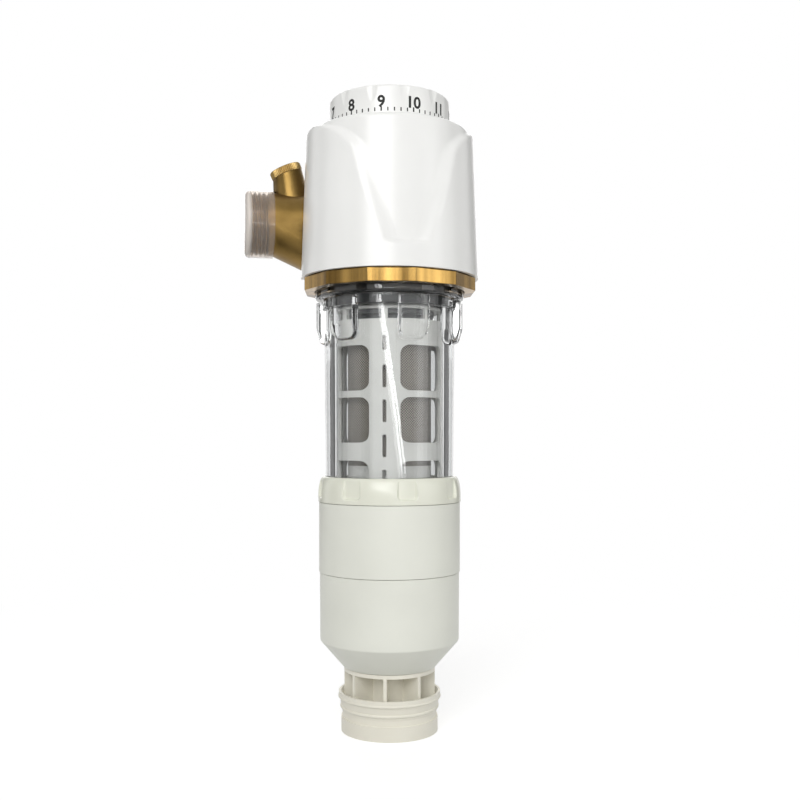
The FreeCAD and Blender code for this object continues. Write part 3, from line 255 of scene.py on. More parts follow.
def spread(tree_nodes, links, source, low, high, start=0.0, end=1.0):
    """Stretches a value from start..end onto low..high."""
    span = tree_nodes.new("ShaderNodeMapRange")
    for socket, value in zip(("From Min", "From Max", "To Min", "To Max"), (start, end, low, high)):
        span.inputs[socket].default_value = value
    links.new(source, span.inputs["Value"])
    return span.outputs["Result"]


def grain(tree_nodes, links, shader, source, depth_mm):
    """Bumps the surface by a value, with that depth."""
    bump = tree_nodes.new("ShaderNodeBump")
    bump.inputs["Strength"].default_value = 1.0
    bump.inputs["Distance"].default_value = depth_mm * MM
    links.new(source, bump.inputs["Height"])
    links.new(bump.outputs["Normal"], shader.inputs["Normal"])


CLOUD = 35                      # clouds of tone to a metre


def moulded(name, dark, light, rough, grain_scale=1400, depth=0.012):
    """Moulded plastic: a faint cloud of tone, a fine grain, and a gloss that varies with both."""
    mat, n, links, shader = new_material(name)
    tone = ramp(n, links, noise(n, links, CLOUD, 4), srgb(*dark), srgb(*light))
    links.new(tone, shader.inputs["Base Color"])
    links.new(spread(n, links, noise(n, links, CLOUD * 6, 2), *rough), shader.inputs["Roughness"])
    grain(n, links, shader, noise(n, links, grain_scale, 2), depth)
    return mat


# %% Plastics
hood_white = moulded("hood_white", (246, 246, 244), (249, 249, 247), (0.27, 0.33), depth=0.002)
dial_white = moulded("dial_white", (243, 243, 241), (247, 247, 245), (0.28, 0.34), depth=0.002)
housing_white = moulded("housing_white", (235, 236, 226), (240, 241, 231), (0.36, 0.44), depth=0.004)
nut_cream = moulded("nut_cream", (234, 235, 220), (239, 240, 226), (0.2, 0.28), depth=0.004)
spigot_cream = moulded("spigot_cream", (238, 234, 220), (243, 240, 227), (0.4, 0.48), depth=0.004)
cage_grey = moulded("cage_grey", (210, 209, 205), (216, 215, 211), (0.34, 0.44), depth=0.004)
# dark grey: the top ring's own colour, and painted shade on the cage's top bush so that its vents read
# dark
grey_and_vent_shade = moulded("grey_and_vent_shade", (84, 86, 87), (98, 100, 101), (0.36, 0.46), depth=0.004)
bearing_white = moulded("bearing_white", (232, 231, 226), (240, 239, 235), (0.3, 0.4))
seat_black = moulded("seat_black", (26, 27, 28), (40, 41, 42), (0.32, 0.44))
seal_black = moulded("seal_black", (18, 18, 18), (30, 30, 31), (0.45, 0.6), 900, 0.02)
disc_white = moulded("disc_white", (238, 236, 228), (246, 244, 238), (0.12, 0.2), 2200, 0.003)
print_black = moulded("print_black", (14, 14, 14), (26, 26, 26), (0.6, 0.75), 1600, 0.004)

for plastic in (hood_white, dial_white):
    plastic.node_tree.nodes["Principled BSDF"].inputs["Coat Weight"].default_value = 0.15
print(len(bpy.data.materials), "materials with the plastics")


# %% [markdown]
# ## Metals
# The head is cast and blasted, and only its threads are machined, so its brass is satin with a fine
# grain. The union ring's band is milled, and upright bright and dark streaks are painted into its
# tone: partly milling marks, partly painted reflections of its flats, which noise gives when it is
# drawn out along the ring's axis. The steel screw, stem and clip are turned, so their grain is
# squeezed along the axis and runs round them.


# %% Metals
def metal(name, dark, light, rough, grain_scale, depth, stretch=None, cloud=60, streaks=None):
    """Metal with a mottled tone, or with streaks that paint reflection bands, a grain of that scale
    and depth, and a varying gloss.
    """
    mat, n, links, shader = new_material(name)
    shader.inputs["Metallic"].default_value = 1.0
    tone = ramp(n, links, noise(n, links, cloud, 5, streaks), srgb(*dark), srgb(*light))
    links.new(tone, shader.inputs["Base Color"])
    links.new(spread(n, links, noise(n, links, cloud * 5, 3), *rough), shader.inputs["Roughness"])
    grain(n, links, shader, noise(n, links, grain_scale, 3, stretch), depth)
    return mat


cast_brass = metal("cast_brass", (110, 88, 46), (140, 114, 66), (0.32, 0.42), 1100, 0.08)
plug_brass = metal("plug_brass", (150, 126, 78), (184, 158, 106), (0.24, 0.34), 900, 0.02)
# painted reflection: upright streaks from dark to bright brass stand for the flats' reflections as
# well as milling marks
milled_brass_and_painted_reflections = metal("milled_brass_and_painted_reflections", (74, 54, 24), (188, 152, 88), (0.18, 0.3), 900, 0.012,
                     cloud=130, streaks=(1, 1, 0.02))
steel = metal("steel", (168, 168, 170), (196, 196, 197), (0.2, 0.32), 300, 0.01,
              stretch=(0.3, 0.3, 12))
print(len(bpy.data.materials), "materials with the metals")


# %% [markdown]
# ## Clear plastic
# The bowl is thick and clear. Real glass shaders block the lamps, because a lamp can't be found
# through a bending surface, so a Mix Shader gives shadow rays a Transparent shader. What is inside
# the bowl is then lit as it is in a real bowl. The transport cap is thin at its mouth and thick at
# its closed end, so its transmission changes along the pipe.


# %% Clear plastic
def mixed(tree_nodes, links, share, first, second):
    """The first shader where the share is 0 and the second where it is 1."""
    mix = tree_nodes.new("ShaderNodeMixShader")
    for source, socket in zip((share, first, second), mix.inputs):
        links.new(source, socket)
    return mix.outputs["Shader"]


def clear(name, tint, rough, ior, wave_scale, wave_depth, through=1.0):
    """Transmitting plastic with a faint wave in its surface; lamps shine through it."""
    mat, n, links, shader = new_material(name)
    shader.inputs["Base Color"].default_value = tint
    shader.inputs["Transmission Weight"].default_value = through
    shader.inputs["IOR"].default_value = ior
    links.new(spread(n, links, noise(n, links, 90, 3), *rough), shader.inputs["Roughness"])
    grain(n, links, shader, noise(n, links, wave_scale, 2), wave_depth)
    passing = n.new("ShaderNodeBsdfTransparent")
    passing.inputs["Color"].default_value = tint
    in_shadow = n.new("ShaderNodeLightPath").outputs["Is Shadow Ray"]
    surface = mixed(n, links, in_shadow, shader.outputs["BSDF"], passing.outputs["BSDF"])
    links.new(surface, n["Material Output"].inputs["Surface"])
    return mat


WALL_THROUGH, END_THROUGH = 0.92, 0.3   # what the cap's thin wall and its closed end let through
bowl_clear = clear("bowl_clear", (0.80, 0.81, 0.81, 1), (0.0, 0.02), 1.5, 55, 0.06)
cap_milky = clear("cap_milky", (0.86, 0.81, 0.765, 1), (0.1, 0.18), 1.3, 400, 0.006, WALL_THROUGH)


def milkier_end(material, from_x, to_x, low, high):
    """Less light passes where the cap is thick: the transmission rises from low to high along X."""
    n, links = material.node_tree.nodes, material.node_tree.links
    coords, apart = n.new("ShaderNodeTexCoord"), n.new("ShaderNodeSeparateXYZ")
    links.new(coords.outputs["Object"], apart.inputs["Vector"])
    passing = spread(n, links, apart.outputs["X"], low, high, from_x * MM, to_x * MM)
    links.new(passing, n["Principled BSDF"].inputs["Transmission Weight"])


CAP_END, CAP_MOUTH = lowest("inlet_cap")[0], highest("inlet_cap")[0]
milkier_end(cap_milky, CAP_END + 1.6, CAP_END + 3.6, END_THROUGH, WALL_THROUGH)
print(len(bpy.data.materials), "materials with the clear ones")


# %% [markdown]
# ## Wire mesh
# The sleeve is woven from steel wire so fine that only its pattern shows. The weave follows the
# sleeve, so it reads the piece's own UV map, where one unit is one millimetre of cloth: two waves
# across each other raise the wires, and the gaps between them are painted near black as shade.


# %% Wire mesh finish
WIRE_PITCH = 0.95               # millimetres from wire to wire
WAVE_LENGTH = 2 * math.pi / 20  # how far a Wave Texture of scale 1 runs before it repeats


def larger(tree_nodes, links, first, second):
    """The larger of two values."""
    higher = tree_nodes.new("ShaderNodeMath")
    higher.operation = "MAXIMUM"
    links.new(first, higher.inputs[0])
    links.new(second, higher.inputs[1])
    return higher.outputs["Value"]


def woven(name):
    """Two sets of crossing wires: the height is the larger of a wave along U and a wave along V."""
    mat, n, links, shader = new_material(name)
    shader.inputs["Metallic"].default_value = 0.45
    uv = n.new("ShaderNodeUVMap")
    uv.uv_map = "weave"
    waves = []
    for direction in ("X", "Y"):
        wave = n.new("ShaderNodeTexWave")
        wave.bands_direction = direction
        wave.inputs["Scale"].default_value = WAVE_LENGTH / WIRE_PITCH
        wave.inputs["Distortion"].default_value = 0.0
        links.new(uv.outputs["UV"], wave.inputs["Vector"])
        waves.append(wave.outputs["Fac"])
    height = larger(n, links, *waves)
    # painted shade: the gaps between the wires turn near black, the wires' tops stay light
    tone = ramp(n, links, height, srgb(12, 11, 10), srgb(186, 178, 167), 0.62, 0.98)
    links.new(tone, shader.inputs["Base Color"])
    links.new(spread(n, links, noise(n, links, 300, 3), 0.38, 0.5), shader.inputs["Roughness"])
    grain(n, links, shader, height, 0.12)
    return mat


steel_weave = woven("steel_weave")
print("wires", WIRE_PITCH, "mm apart")


# %% [markdown]
# ## Carried-over nodes
# Every node of the frame gets its finish, and most of them have the right shape already. Their
# triangles come loose from the CAD, so a Weld modifier joins them and an Edge Split keeps their
# real edges sharp while the rest shades smooth. The nodes that a new piece stands for get the
# finish of that piece.

# %% Finish the frame's own nodes
FINISHES = {
    cast_brass: ["head_body"],
    milled_brass_and_painted_reflections: ["union_ring"],
    plug_brass: ["gauge_port_plug"],
    steel: ["hood_screw", "drive_stem", "spigot_clip"],
    seal_black: ["gauge_plug_seal", "bowl_neck_seal", "bowl_foot_seal", "element_seal",
                 "disc_seat_seal", "shaft_seal"],
    seat_black: ["filter_seat"],
    # the cage's top bush takes this dark grey as painted shade inside the cage's vents
    grey_and_vent_shade: ["element_top_ring", "cage_top_bush"],
    bearing_white: ["slip_ring"],
    cage_grey: ["mesh_core", "element_end_cap", "jet_cage"],
    disc_white: ["fixed_disc", "turning_disc"],
    housing_white: ["valve_housing", "drain_knob"],
    spigot_cream: ["drain_spigot"],
    hood_white: ["hood"],
    dial_white: ["month_dial"],
    cap_milky: ["inlet_cap"],
    bowl_clear: ["bowl"],
    steel_weave: ["mesh_sleeve"],
    nut_cream: ["lower_union_nut", "outlet_nozzle"],
}


def dress(node, material):
    """Gives a CAD node its finish and joins its loose triangles."""
    piece = nodes[node]
    piece.data.materials.clear()
    piece.data.materials.append(material)
    weld = piece.modifiers.new("join triangles", "WELD")
    weld.merge_threshold = 1e-6
    split = piece.modifiers.new("keep edges", "EDGE_SPLIT")
    split.split_angle = math.radians(32)


for finish, names in FINISHES.items():
    for node in names:
        dress(node, finish)
print(sum(len(names) for names in FINISHES.values()), "nodes dressed")


# %% [markdown]
# ## Month dial
# The dial is a white cup that a thumb turns: twelve shallow scallops cut into its upper half for
# grip, and the months 1 to 12 printed round its foot with a tick for each fifth of a month. A
# scallop is what a leaning cylinder takes out of the wall, so the wall's radius is the smaller of
# its own radius and the cylinder's near side.

# %% Dial wall
DIAL_FOOT, DIAL_TOP = lowest("month_dial")[2], highest("month_dial")[2]
DIAL_R, DIAL_IN_R = 31.0, 29.2
DIAL_ROUND, DIAL_PLATE = 1.5, 2.2
SCALLOP_R, SCALLOP_DEPTH, SCALLOP_H = 7.0, 0.8, 8.5
MONTHS = 12
MONTH_STEP = 360.0 / MONTHS
NINTH_MONTH = -19.0             # bearing of the number 9
SCALLOP_OFF = -8.5              # a scallop's middle, seen from its number


def dial_radius(degrees, height, own):
    """own, or less where a scallop bites. A scallop's cylinder stands SCALLOP_R outside the wall,
    leaning in by SCALLOP_DEPTH at the top; at the angle v off its middle its near side is at
    c cos v - sqrt(R^2 - c^2 sin^2 v), where c is how far out its axis is at that height."""
    depth = np.clip((height - DIAL_TOP + SCALLOP_H) / SCALLOP_H, 0, 1) * SCALLOP_DEPTH
    off = (degrees - NINTH_MONTH - SCALLOP_OFF + MONTH_STEP / 2) % MONTH_STEP - MONTH_STEP / 2
    v = np.radians(off)
    c = DIAL_R + SCALLOP_R - depth
    inside = SCALLOP_R**2 - (c * np.sin(v)) ** 2
    near = c * np.cos(v) - np.sqrt(np.maximum(inside, 0))
    return np.where((inside > 0) & (depth > 0), np.minimum(own, near), own)


def dial_grid(segments=720):
    """The cup's wall with scallops, closed by a flat top inside and outside."""
    under = DIAL_TOP - DIAL_PLATE
    section = np.concatenate([
        section_of((DIAL_IN_R - 1, DIAL_FOOT + 0.3), (DIAL_IN_R, DIAL_FOOT), (DIAL_R, DIAL_FOOT)),
        upright(DIAL_R, np.linspace(DIAL_TOP - SCALLOP_H, DIAL_TOP - DIAL_ROUND, 12)),
        rounded_top(DIAL_R, DIAL_TOP, DIAL_ROUND, DIAL_ROUND, 7),
        section_of((27, DIAL_TOP), (0, DIAL_TOP), (0, under), (DIAL_IN_R, under),
                   (DIAL_IN_R, DIAL_FOOT + 1.7), (DIAL_IN_R - 1, DIAL_FOOT + 1.4)),
    ])
    angles, own, height = round_grid(section, segments)
    outside = own > DIAL_IN_R + 0.1
    return around_axis(angles, np.where(outside, dial_radius(angles, height, own), own), height)


build("dial_cup", [dial_grid()], [(True, True)], dial_white, "dial",
      ["month_dial"], crease=50)

# %% [markdown]
# The numbers are text turned into a mesh, thickened, sliced upright every half millimetre so that
# they can bend, and then laid round the wall: a point's x becomes an angle, x / radius. Print has
# almost no thickness, so the letters stand only a few hundredths out of the wall.

# %% Dial print
PRINT_OUT, PRINT_THICK = 0.03, 0.1
SLICE = 0.5
NUMBER_H, NUMBER_FOOT = 5.7, 5.0        # the foot lies above the dial's foot
TEXT_SIZE = 1.37                # a text's size over the height of its digits
TICKS = 5 * MONTHS
LONG_TICK, SHORT_TICK = (2.9, 5.2, 0.36), (2.9, 4.7, 0.3)       # foot, top and half the width


def number_mesh(text):
    """A number as a thin solid in millimetres, centred on x, with its foot at y = 0."""
    curve = bpy.data.curves.new("number", "FONT")
    curve.body = text
    curve.size = NUMBER_H * TEXT_SIZE
    curve.align_x = "CENTER"
    curve.offset = 0.04 * NUMBER_H
    curve.extrude = PRINT_THICK / 2
    curve.resolution_u = 4
    carrier = put("number", curve)
    bpy.context.view_layer.update()
    shown = carrier.evaluated_get(bpy.context.evaluated_depsgraph_get())
    mesh = bpy.data.meshes.new_from_object(shown)
    bpy.data.objects.remove(carrier)
    return mesh


def tick_mesh(height, half):
    """An upright bar as a thin solid in millimetres, centred on x, with its foot at y = 0."""
    bm = bmesh.new()
    bmesh.ops.create_cube(bm, size=1)
    bmesh.ops.scale(bm, vec=(2 * half, height, PRINT_THICK), verts=bm.verts)
    bmesh.ops.translate(bm, vec=(0, height / 2, 0), verts=bm.verts)
    mesh = bpy.data.meshes.new("tick")
    bm.to_mesh(mesh)
    bm.free()
    return mesh


def wrapped(mesh, degrees, foot):
    """Lays a flat mesh round the dial: x turns into an angle, its thickness into radius."""
    bm = bmesh.new()
    bm.from_mesh(mesh)
    reach = max(abs(v.co.x) for v in bm.verts)
    for cut in np.arange(-reach, reach, SLICE):
        everything = bm.verts[:] + bm.edges[:] + bm.faces[:]
        bmesh.ops.bisect_plane(bm, geom=everything, plane_co=(cut, 0, 0), plane_no=(1, 0, 0))
    bmesh.ops.triangulate(bm, faces=bm.faces)
    bm.to_mesh(mesh)
    bm.free()
    flat = np.zeros(len(mesh.vertices) * 3)
    mesh.vertices.foreach_get("co", flat)
    flat = flat.reshape(-1, 3)
    height = DIAL_FOOT + foot + flat[:, 1]
    angle = degrees + np.degrees(flat[:, 0] / DIAL_R)
    wall = dial_radius(angle, height, np.full(len(flat), DIAL_R))
    points = around_axis(angle, wall + PRINT_OUT - PRINT_THICK / 2 + flat[:, 2], height)
    mesh.vertices.foreach_set("co", (points * MM).astype(np.float32).ravel())
    return mesh


def joined(name, meshes):
    """Several meshes as one."""
    bm = bmesh.new()
    for mesh in meshes:
        bm.from_mesh(mesh)
    whole = bpy.data.meshes.new(name)
    bm.to_mesh(whole)
    bm.free()
    return whole


prints = []
for month in range(1, MONTHS + 1):
    at = NINTH_MONTH + MONTH_STEP * (month - 9)
    prints.append(wrapped(number_mesh(str(month)), at, NUMBER_FOOT))
for tick in range(TICKS):
    foot, top, half = LONG_TICK if tick % 5 == 0 else SHORT_TICK
    prints.append(wrapped(tick_mesh(top - foot, half), NINTH_MONTH + tick * 360.0 / TICKS, foot))
finish_mesh("dial_print", joined("dial_print", prints), print_black, "dial")


# %% [markdown]
# ## Hood
# The hood is one white moulding: a slightly tapered drum with a sunken panel in front, which is
# narrow at its foot and opens into two wide arches at the top. Its columns follow the panel: one
# set lies on the sunken floor, one on each sloping edge, and one outside, so the creases run along
# grid lines and stay clean. Where the pipe passes, the wall is left open from an arch down.

# %% Hood sizes
HOOD_FOOT = lowest("hood")[2]
HOOD_H = DIAL_FOOT - 0.3 - HOOD_FOOT
FOOT_R, TOP_R = highest("hood")[0], 43.1
MEAN_R = 45.0
WALL = 2.2
TOP_ROUND = 2.5
PANEL_DEPTH, PANEL_RISE, PANEL_FOOT_H = 1.9, 10.4, 3.2
PANEL_FOOT_HALF, PANEL_SPREAD, PANEL_EDGE = 16.5, 0.4545, 12.0
ARCH_H, ARCH_SPREAD = 19.0, 48.0
PIPE_Y, PIPE_Z = 25.0, (lowest("inlet_cap")[2] + highest("inlet_cap")[2]) / 2
PIPE_RISE = PIPE_Z - HOOD_FOOT
NOTCH_R = {-1: 17.4, 1: 19.8}   # round the inlet's shank and the outlet's socket
NOTCH_ROWS = 8                  # rows down the notch's rear edge
STRIP_HALF = 16.0
COLLAR_R, COLLAR_IN_R, COLLAR_H = 28.9, 26.0, 11.0
COLLAR_NECK_R, COLLAR_NECK_H = 27.9, 2.3
SCREW_HOLE_R = 3.3
print("hood", round(HOOD_H, 2), "mm high, pipe line", round(PIPE_RISE, 2), "mm above its foot")


# %% Panel and taper
def panel_half(rise):
    """Half the panel's width in degrees: steady, then growing, then opening like a quarter circle."""
    into_arch = np.clip((rise - HOOD_H + ARCH_H) / ARCH_H, 0, 1)
    straight = PANEL_FOOT_HALF + PANEL_SPREAD * np.maximum(rise - PANEL_RISE, 0)
    return straight + ARCH_SPREAD * (1 - np.sqrt(1 - into_arch**2))


def drum_radius(rise):
    """The tapered wall, less the quarter round at its top edge."""
    into_round = np.clip(rise - HOOD_H + TOP_ROUND, 0, TOP_ROUND)
    edge = TOP_ROUND - np.sqrt(TOP_ROUND**2 - into_round**2)
    return FOOT_R + (TOP_R - FOOT_R) * rise / HOOD_H - edge


def ease(t):
    """0 to 1 with a soft start and end: t less a share of sin(2 pi t) / 2 pi."""
    return t - np.sin(2 * np.pi * t) / (2 * np.pi) * 0.7


def sink(rise, across):
    """How deep the panel lies: 0 outside, full on its floor, easing over both sloping edges.
    across is 1 at the floor's side and 2 at the outer side."""
    up = np.clip((rise - PANEL_RISE) / PANEL_FOOT_H, 0, 1)
    return PANEL_DEPTH * ease(up) * (1 - ease(np.clip(across - 1, 0, 1)))


def front_angles(across, rise, limit):
    """Angle of a column at a height: across 0..1 spans the floor, 1..2 the slope, 2..3 the rest up
    to the limit."""
    outer = panel_half(rise)
    inner = outer - PANEL_EDGE
    outer = np.minimum(outer, limit - 0.3)
    a = np.abs(across)
    at = np.where(a < 1, a * inner, np.where(a < 2, inner + (a - 1) * (outer - inner),
                                             outer + (a - 2) * (limit - outer)))
    return np.sign(across) * at


def notch_edge(side):
    """Bearing and rise along the notch's arch, a circle round the pipe line seen from the side."""
    radius = NOTCH_R[side]
    drop = np.sin(np.linspace(0, np.pi / 2, 14))
    y = PIPE_Y - radius * np.sqrt(1 - drop**2)
    return np.degrees(np.arccos(-y / MEAN_R)), PIPE_RISE + radius * drop


# %% Hood wall
def hood_rows():
    """Rises of the rows from the foot up to the pipe line, and from there to the top."""
    panel_top, round_from = PANEL_RISE + PANEL_FOOT_H, HOOD_H - TOP_ROUND
    lower = np.concatenate([
        np.linspace(0, PANEL_RISE, 6)[:-1],
        np.linspace(PANEL_RISE, panel_top, 9)[:-1],
        np.linspace(panel_top, PIPE_RISE, 10)[:-1],
    ])
    upper = np.concatenate([
        np.linspace(PIPE_RISE, HOOD_H - ARCH_H, 16)[:-1],
        np.linspace(HOOD_H - ARCH_H, round_from, 28),
        round_from + TOP_ROUND * np.sin(np.radians(np.arange(15, 91, 15))),
    ])
    return lower, upper


def front_block(rows, left_limit, right_limit):
    """The front wall with its panel, between the two notches."""
    across = np.concatenate([
        np.linspace(-3, -2, 26)[:-1], np.linspace(-2, -1, 13)[:-1], np.linspace(-1, 1, 61)[:-1],
        np.linspace(1, 2, 13)[:-1], np.linspace(2, 3, 26),
    ])
    a, rise = np.meshgrid(across, rows, indexing="ij")
    limit = np.where(a < 0, left_limit, right_limit)
    return front_angles(a, rise, limit), rise, sink(rise, np.abs(a))


def side_blocks(degrees, edge, strip_foot, share):
    """The wall over one notch, whose arch has those bearings and rises, and half the rear strip,
    which reaches down to the hood's foot. share says how far up each row of the upper wall is."""
    rear = 180 - np.degrees(np.arcsin(STRIP_HALF / MEAN_R))
    flat = np.linspace(degrees[-1], rear, 14)[1:]
    foot = np.concatenate([edge, np.full(len(flat), edge[-1])])[:, None]
    columns, s = np.meshgrid(np.concatenate([degrees, flat]), share, indexing="ij")
    over_notch = (columns, foot + s * (HOOD_H - foot), 0 * columns)
    crest = np.linspace(edge[-1], strip_foot, 12)[:, None]
    below = crest * np.linspace(0, 1, NOTCH_ROWS)[:-1]
    rise = np.concatenate([below, crest + share * (HOOD_H - crest)], 1)
    columns = np.broadcast_to(np.linspace(rear, 180, 12)[:, None], rise.shape)
    return [over_notch, (columns, rise, 0 * columns)]


def hood_blocks():
    """Angle, rise and sink over the wall's grids: the front, the sides above their notches and the
    rear strip, in order round the hood. Rows above the pipe line are the same share of the way to
    the top in every grid, so neighbours meet point for point."""
    lower, upper = hood_rows()
    share = (upper - PIPE_RISE) / (HOOD_H - PIPE_RISE)
    left, right = notch_edge(-1), notch_edge(1)
    crest = (left[1][-1] + right[1][-1]) / 2
    front = front_block(np.concatenate([lower, upper]), left[0][0], right[0][0])
    mirrored = [tuple(grid[::-1] for grid in (360 - degrees, rise, depth))
                for degrees, rise, depth in reversed(side_blocks(*left, crest, share))]
    return [front, *side_blocks(*right, crest, share), *mirrored]


def hood_outer(block):
    """The wall's outside: the drum's radius less the panel's sink."""
    degrees, rise, depth = block
    return around_axis(degrees, drum_radius(rise) - depth, HOOD_FOOT + rise)


def hood_inner(block):
    """The wall's inside: one wall thickness in, up to the ceiling."""
    degrees, rise, depth = block
    rise = np.minimum(rise, HOOD_H - WALL)
    radius = FOOT_R + (TOP_R - FOOT_R) * rise / HOOD_H - depth - WALL
    return around_axis(degrees, radius, HOOD_FOOT + rise)


def hood_cap(outer_edge, inner_edge):
    """From the wall's top edge over the plate, round the dial's collar, through the screw hole and
    back under the ceiling."""
    degrees = np.degrees(np.arctan2(outer_edge[:, 0], -outer_edge[:, 1]))
    top, under = HOOD_FOOT + HOOD_H, HOOD_FOOT + HOOD_H - WALL
    section = section_of(
        (31.5, top), (COLLAR_NECK_R, top), (COLLAR_NECK_R, top + COLLAR_NECK_H),
        (COLLAR_R, top + COLLAR_NECK_H), (COLLAR_R, top + COLLAR_H), (COLLAR_IN_R, top + COLLAR_H),
        (COLLAR_IN_R, top), (SCREW_HOLE_R, top), (SCREW_HOLE_R, under), (24, under),
    )
    middle = around_axis(*laid_round(section, degrees))
    return np.concatenate([outer_edge[:, None], middle, inner_edge[:, None]], axis=1)


def hood_grids():
    """Outer and inner wall, the cap between their top edges, and the cut edges between their feet
    and down both sides of each notch."""
    blocks = hood_blocks()
    outer, inner = [hood_outer(b) for b in blocks], [hood_inner(b) for b in blocks]
    grids = outer + inner
    grids.append(hood_cap(np.concatenate([g[:, -1] for g in outer]),
                          np.concatenate([g[:, -1] for g in inner])))
    for out, within in zip(outer, inner):
        grids.append(np.stack([out[:, 0], within[:, 0]], axis=1))
    below = (blocks[0][1][0] <= PIPE_RISE + 1e-6).sum()
    for block, row, count in ((0, 0, below), (0, -1, below), (2, 0, NOTCH_ROWS), (3, -1, NOTCH_ROWS)):
        grids.append(np.stack([outer[block][row, :count], inner[block][row, :count]], axis=1))
    return grids


# %% Hood
def soften(piece, width_mm, angle):
    """Bevels the piece's hard edges, before its normals are weighted. A weld joins the corners
    where two bevels run into each other."""
    bevel = piece.modifiers.new("soft edges", "BEVEL")
    bevel.width = width_mm * MM
    bevel.segments = 2
    bevel.limit_method = "ANGLE"
    bevel.angle_limit = math.radians(angle)
    bevel.harden_normals = False
    piece.modifiers.move(len(piece.modifiers) - 1, 0)
    weld = piece.modifiers.new("join corners", "WELD")
    weld.merge_threshold = 2e-6
    piece.modifiers.move(len(piece.modifiers) - 1, 1)


hood_parts = hood_grids()
hood_shell = build("hood_shell", hood_parts, [(False, False)] * len(hood_parts), hood_white,
                   "filter", ["hood"], crease=40)
soften(hood_shell, 0.35, angle=60)


# %% [markdown]
# ## Union ring
# The ring that holds the bowl is turned brass with twelve flats milled on its band for a spanner.
# A flat's distance is constant, so the band's radius is that distance / cos(angle off its middle),
# and the corners reach the full radius. A bevel takes the sharpness off every edge.

# %% Union ring
RING_FLATS, RING_TURN = 12, -10.0
RING_FOOT, RING_TOP = lowest("union_ring")[2], highest("union_ring")[2]
RING_R, RING_NECK_R, RING_IN_R, RING_LIP_R = 45.0, 43.0, 41.7, 38.9
RING_BAND_H, RING_LIP_H = 6.6, 2.0


def union_ring_grid(steps=8):
    """The band follows the flats; the lip inside and the neck above are round."""
    band, lip = RING_FOOT + RING_BAND_H, RING_FOOT + RING_LIP_H
    section = section_of((RING_LIP_R, RING_FOOT), (RING_R, RING_FOOT), (RING_R, band),
                         (RING_NECK_R, band), (RING_NECK_R, RING_TOP), (RING_IN_R, RING_TOP),
                         (RING_IN_R, lip), (RING_LIP_R, lip))
    angles, radius, height = round_grid(section, RING_FLATS * steps)
    share = 360.0 / RING_FLATS
    off = angles % share - share / 2
    flat = RING_R * math.cos(math.pi / RING_FLATS) / np.cos(np.radians(off))
    radius = np.where(radius == RING_R, flat, radius)
    return around_axis(angles + RING_TURN + share / 2, radius, height)


ring = build("brass_ring", [union_ring_grid()], [(True, True)], milled_brass_and_painted_reflections, "filter",
             ["union_ring"], crease=20)
soften(ring, 0.25, angle=20)


# %% [markdown]
# ## Clear bowl
# The bowl is moulded in one piece: a long tube with a rounded bead near its top, six grip lugs
# under the bead and a stepped neck inside the brass. Its wall is over 5 mm thick, which bends the
# light so strongly at its sides that they look dark. So both its walls are modelled, not a skin.
# A lug is a rounded rectangle on the unrolled wall. Its edge is a short steep step with a low bead
# along it, whose height is a bell curve, h exp(-(d / w)^2), of the distance d to the bead's line.

# %% Bowl sizes
BOWL_FOOT, BOWL_TOP = lowest("bowl")[2], highest("bowl")[2]
BEAD_Z = BOWL_FOOT + 109.7      # the bead's lower face
BEAD_R, BEAD_ROUND = 38.5, 1.4
FLANGE_Z, FLANGE_TOP, FLANGE_R = BEAD_Z + 6.8, BEAD_Z + 9.3, 41.0
TUBE_FOOT, TUBE_TOP = BOWL_FOOT + 15, BEAD_Z - 5
TUBE_R, TUBE_TAPER, TUBE_IN_R = 33.0, 0.8, 27.8
THROAT_R, NECK_R, NECK_IN_R = 34.8, 36.4, 31.2
END_R, STEP_R, STEP_Z = 31.0, 34.6, BOWL_FOOT + 12
LUG_COUNT, LUG_TURN = 6, 8.5
LUG_TOP, LUG_H, LUG_W = BEAD_Z - 1.2, 21.8, 16.5
LUG_CORNER, LUG_STEP = 5.0, 1.2
LUG_FOOT_R, LUG_R, LUG_SLOPE_H = 34.9, 37.3, 8.0
LUG_ARC_R = 36.0                # the radius at which a lug's width is measured
LUG_OVER = 5.0                  # half of how far the rectangle runs on behind the bead
LUG_RIM, LUG_RIM_W = 0.6, 0.5   # a low bead runs along the lug's edge


# %% Bowl
def rounded_box_distance(x, y, half_w, half_h, corner):
    """Signed distance to a rounded rectangle: |p| - half size + corner, its length outside, less
    the corner's radius; negative inside."""
    qx, qy = np.abs(x) - half_w + corner, np.abs(y) - half_h + corner
    outside = np.hypot(np.maximum(qx, 0), np.maximum(qy, 0))
    return outside + np.minimum(np.maximum(qx, qy), 0) - corner


def off_middle(degrees, count, turn):
    """Angle off the middle of the nearest of count equal shares; the first is at the bearing turn."""
    share = 360.0 / count
    return (degrees - turn + share / 2) % share - share / 2


def tube_radius(z):
    """The tube widens evenly by its taper, from its foot to the throat under the bead."""
    return TUBE_R + TUBE_TAPER * (z - TUBE_FOOT) / (TUBE_TOP - TUBE_FOOT)


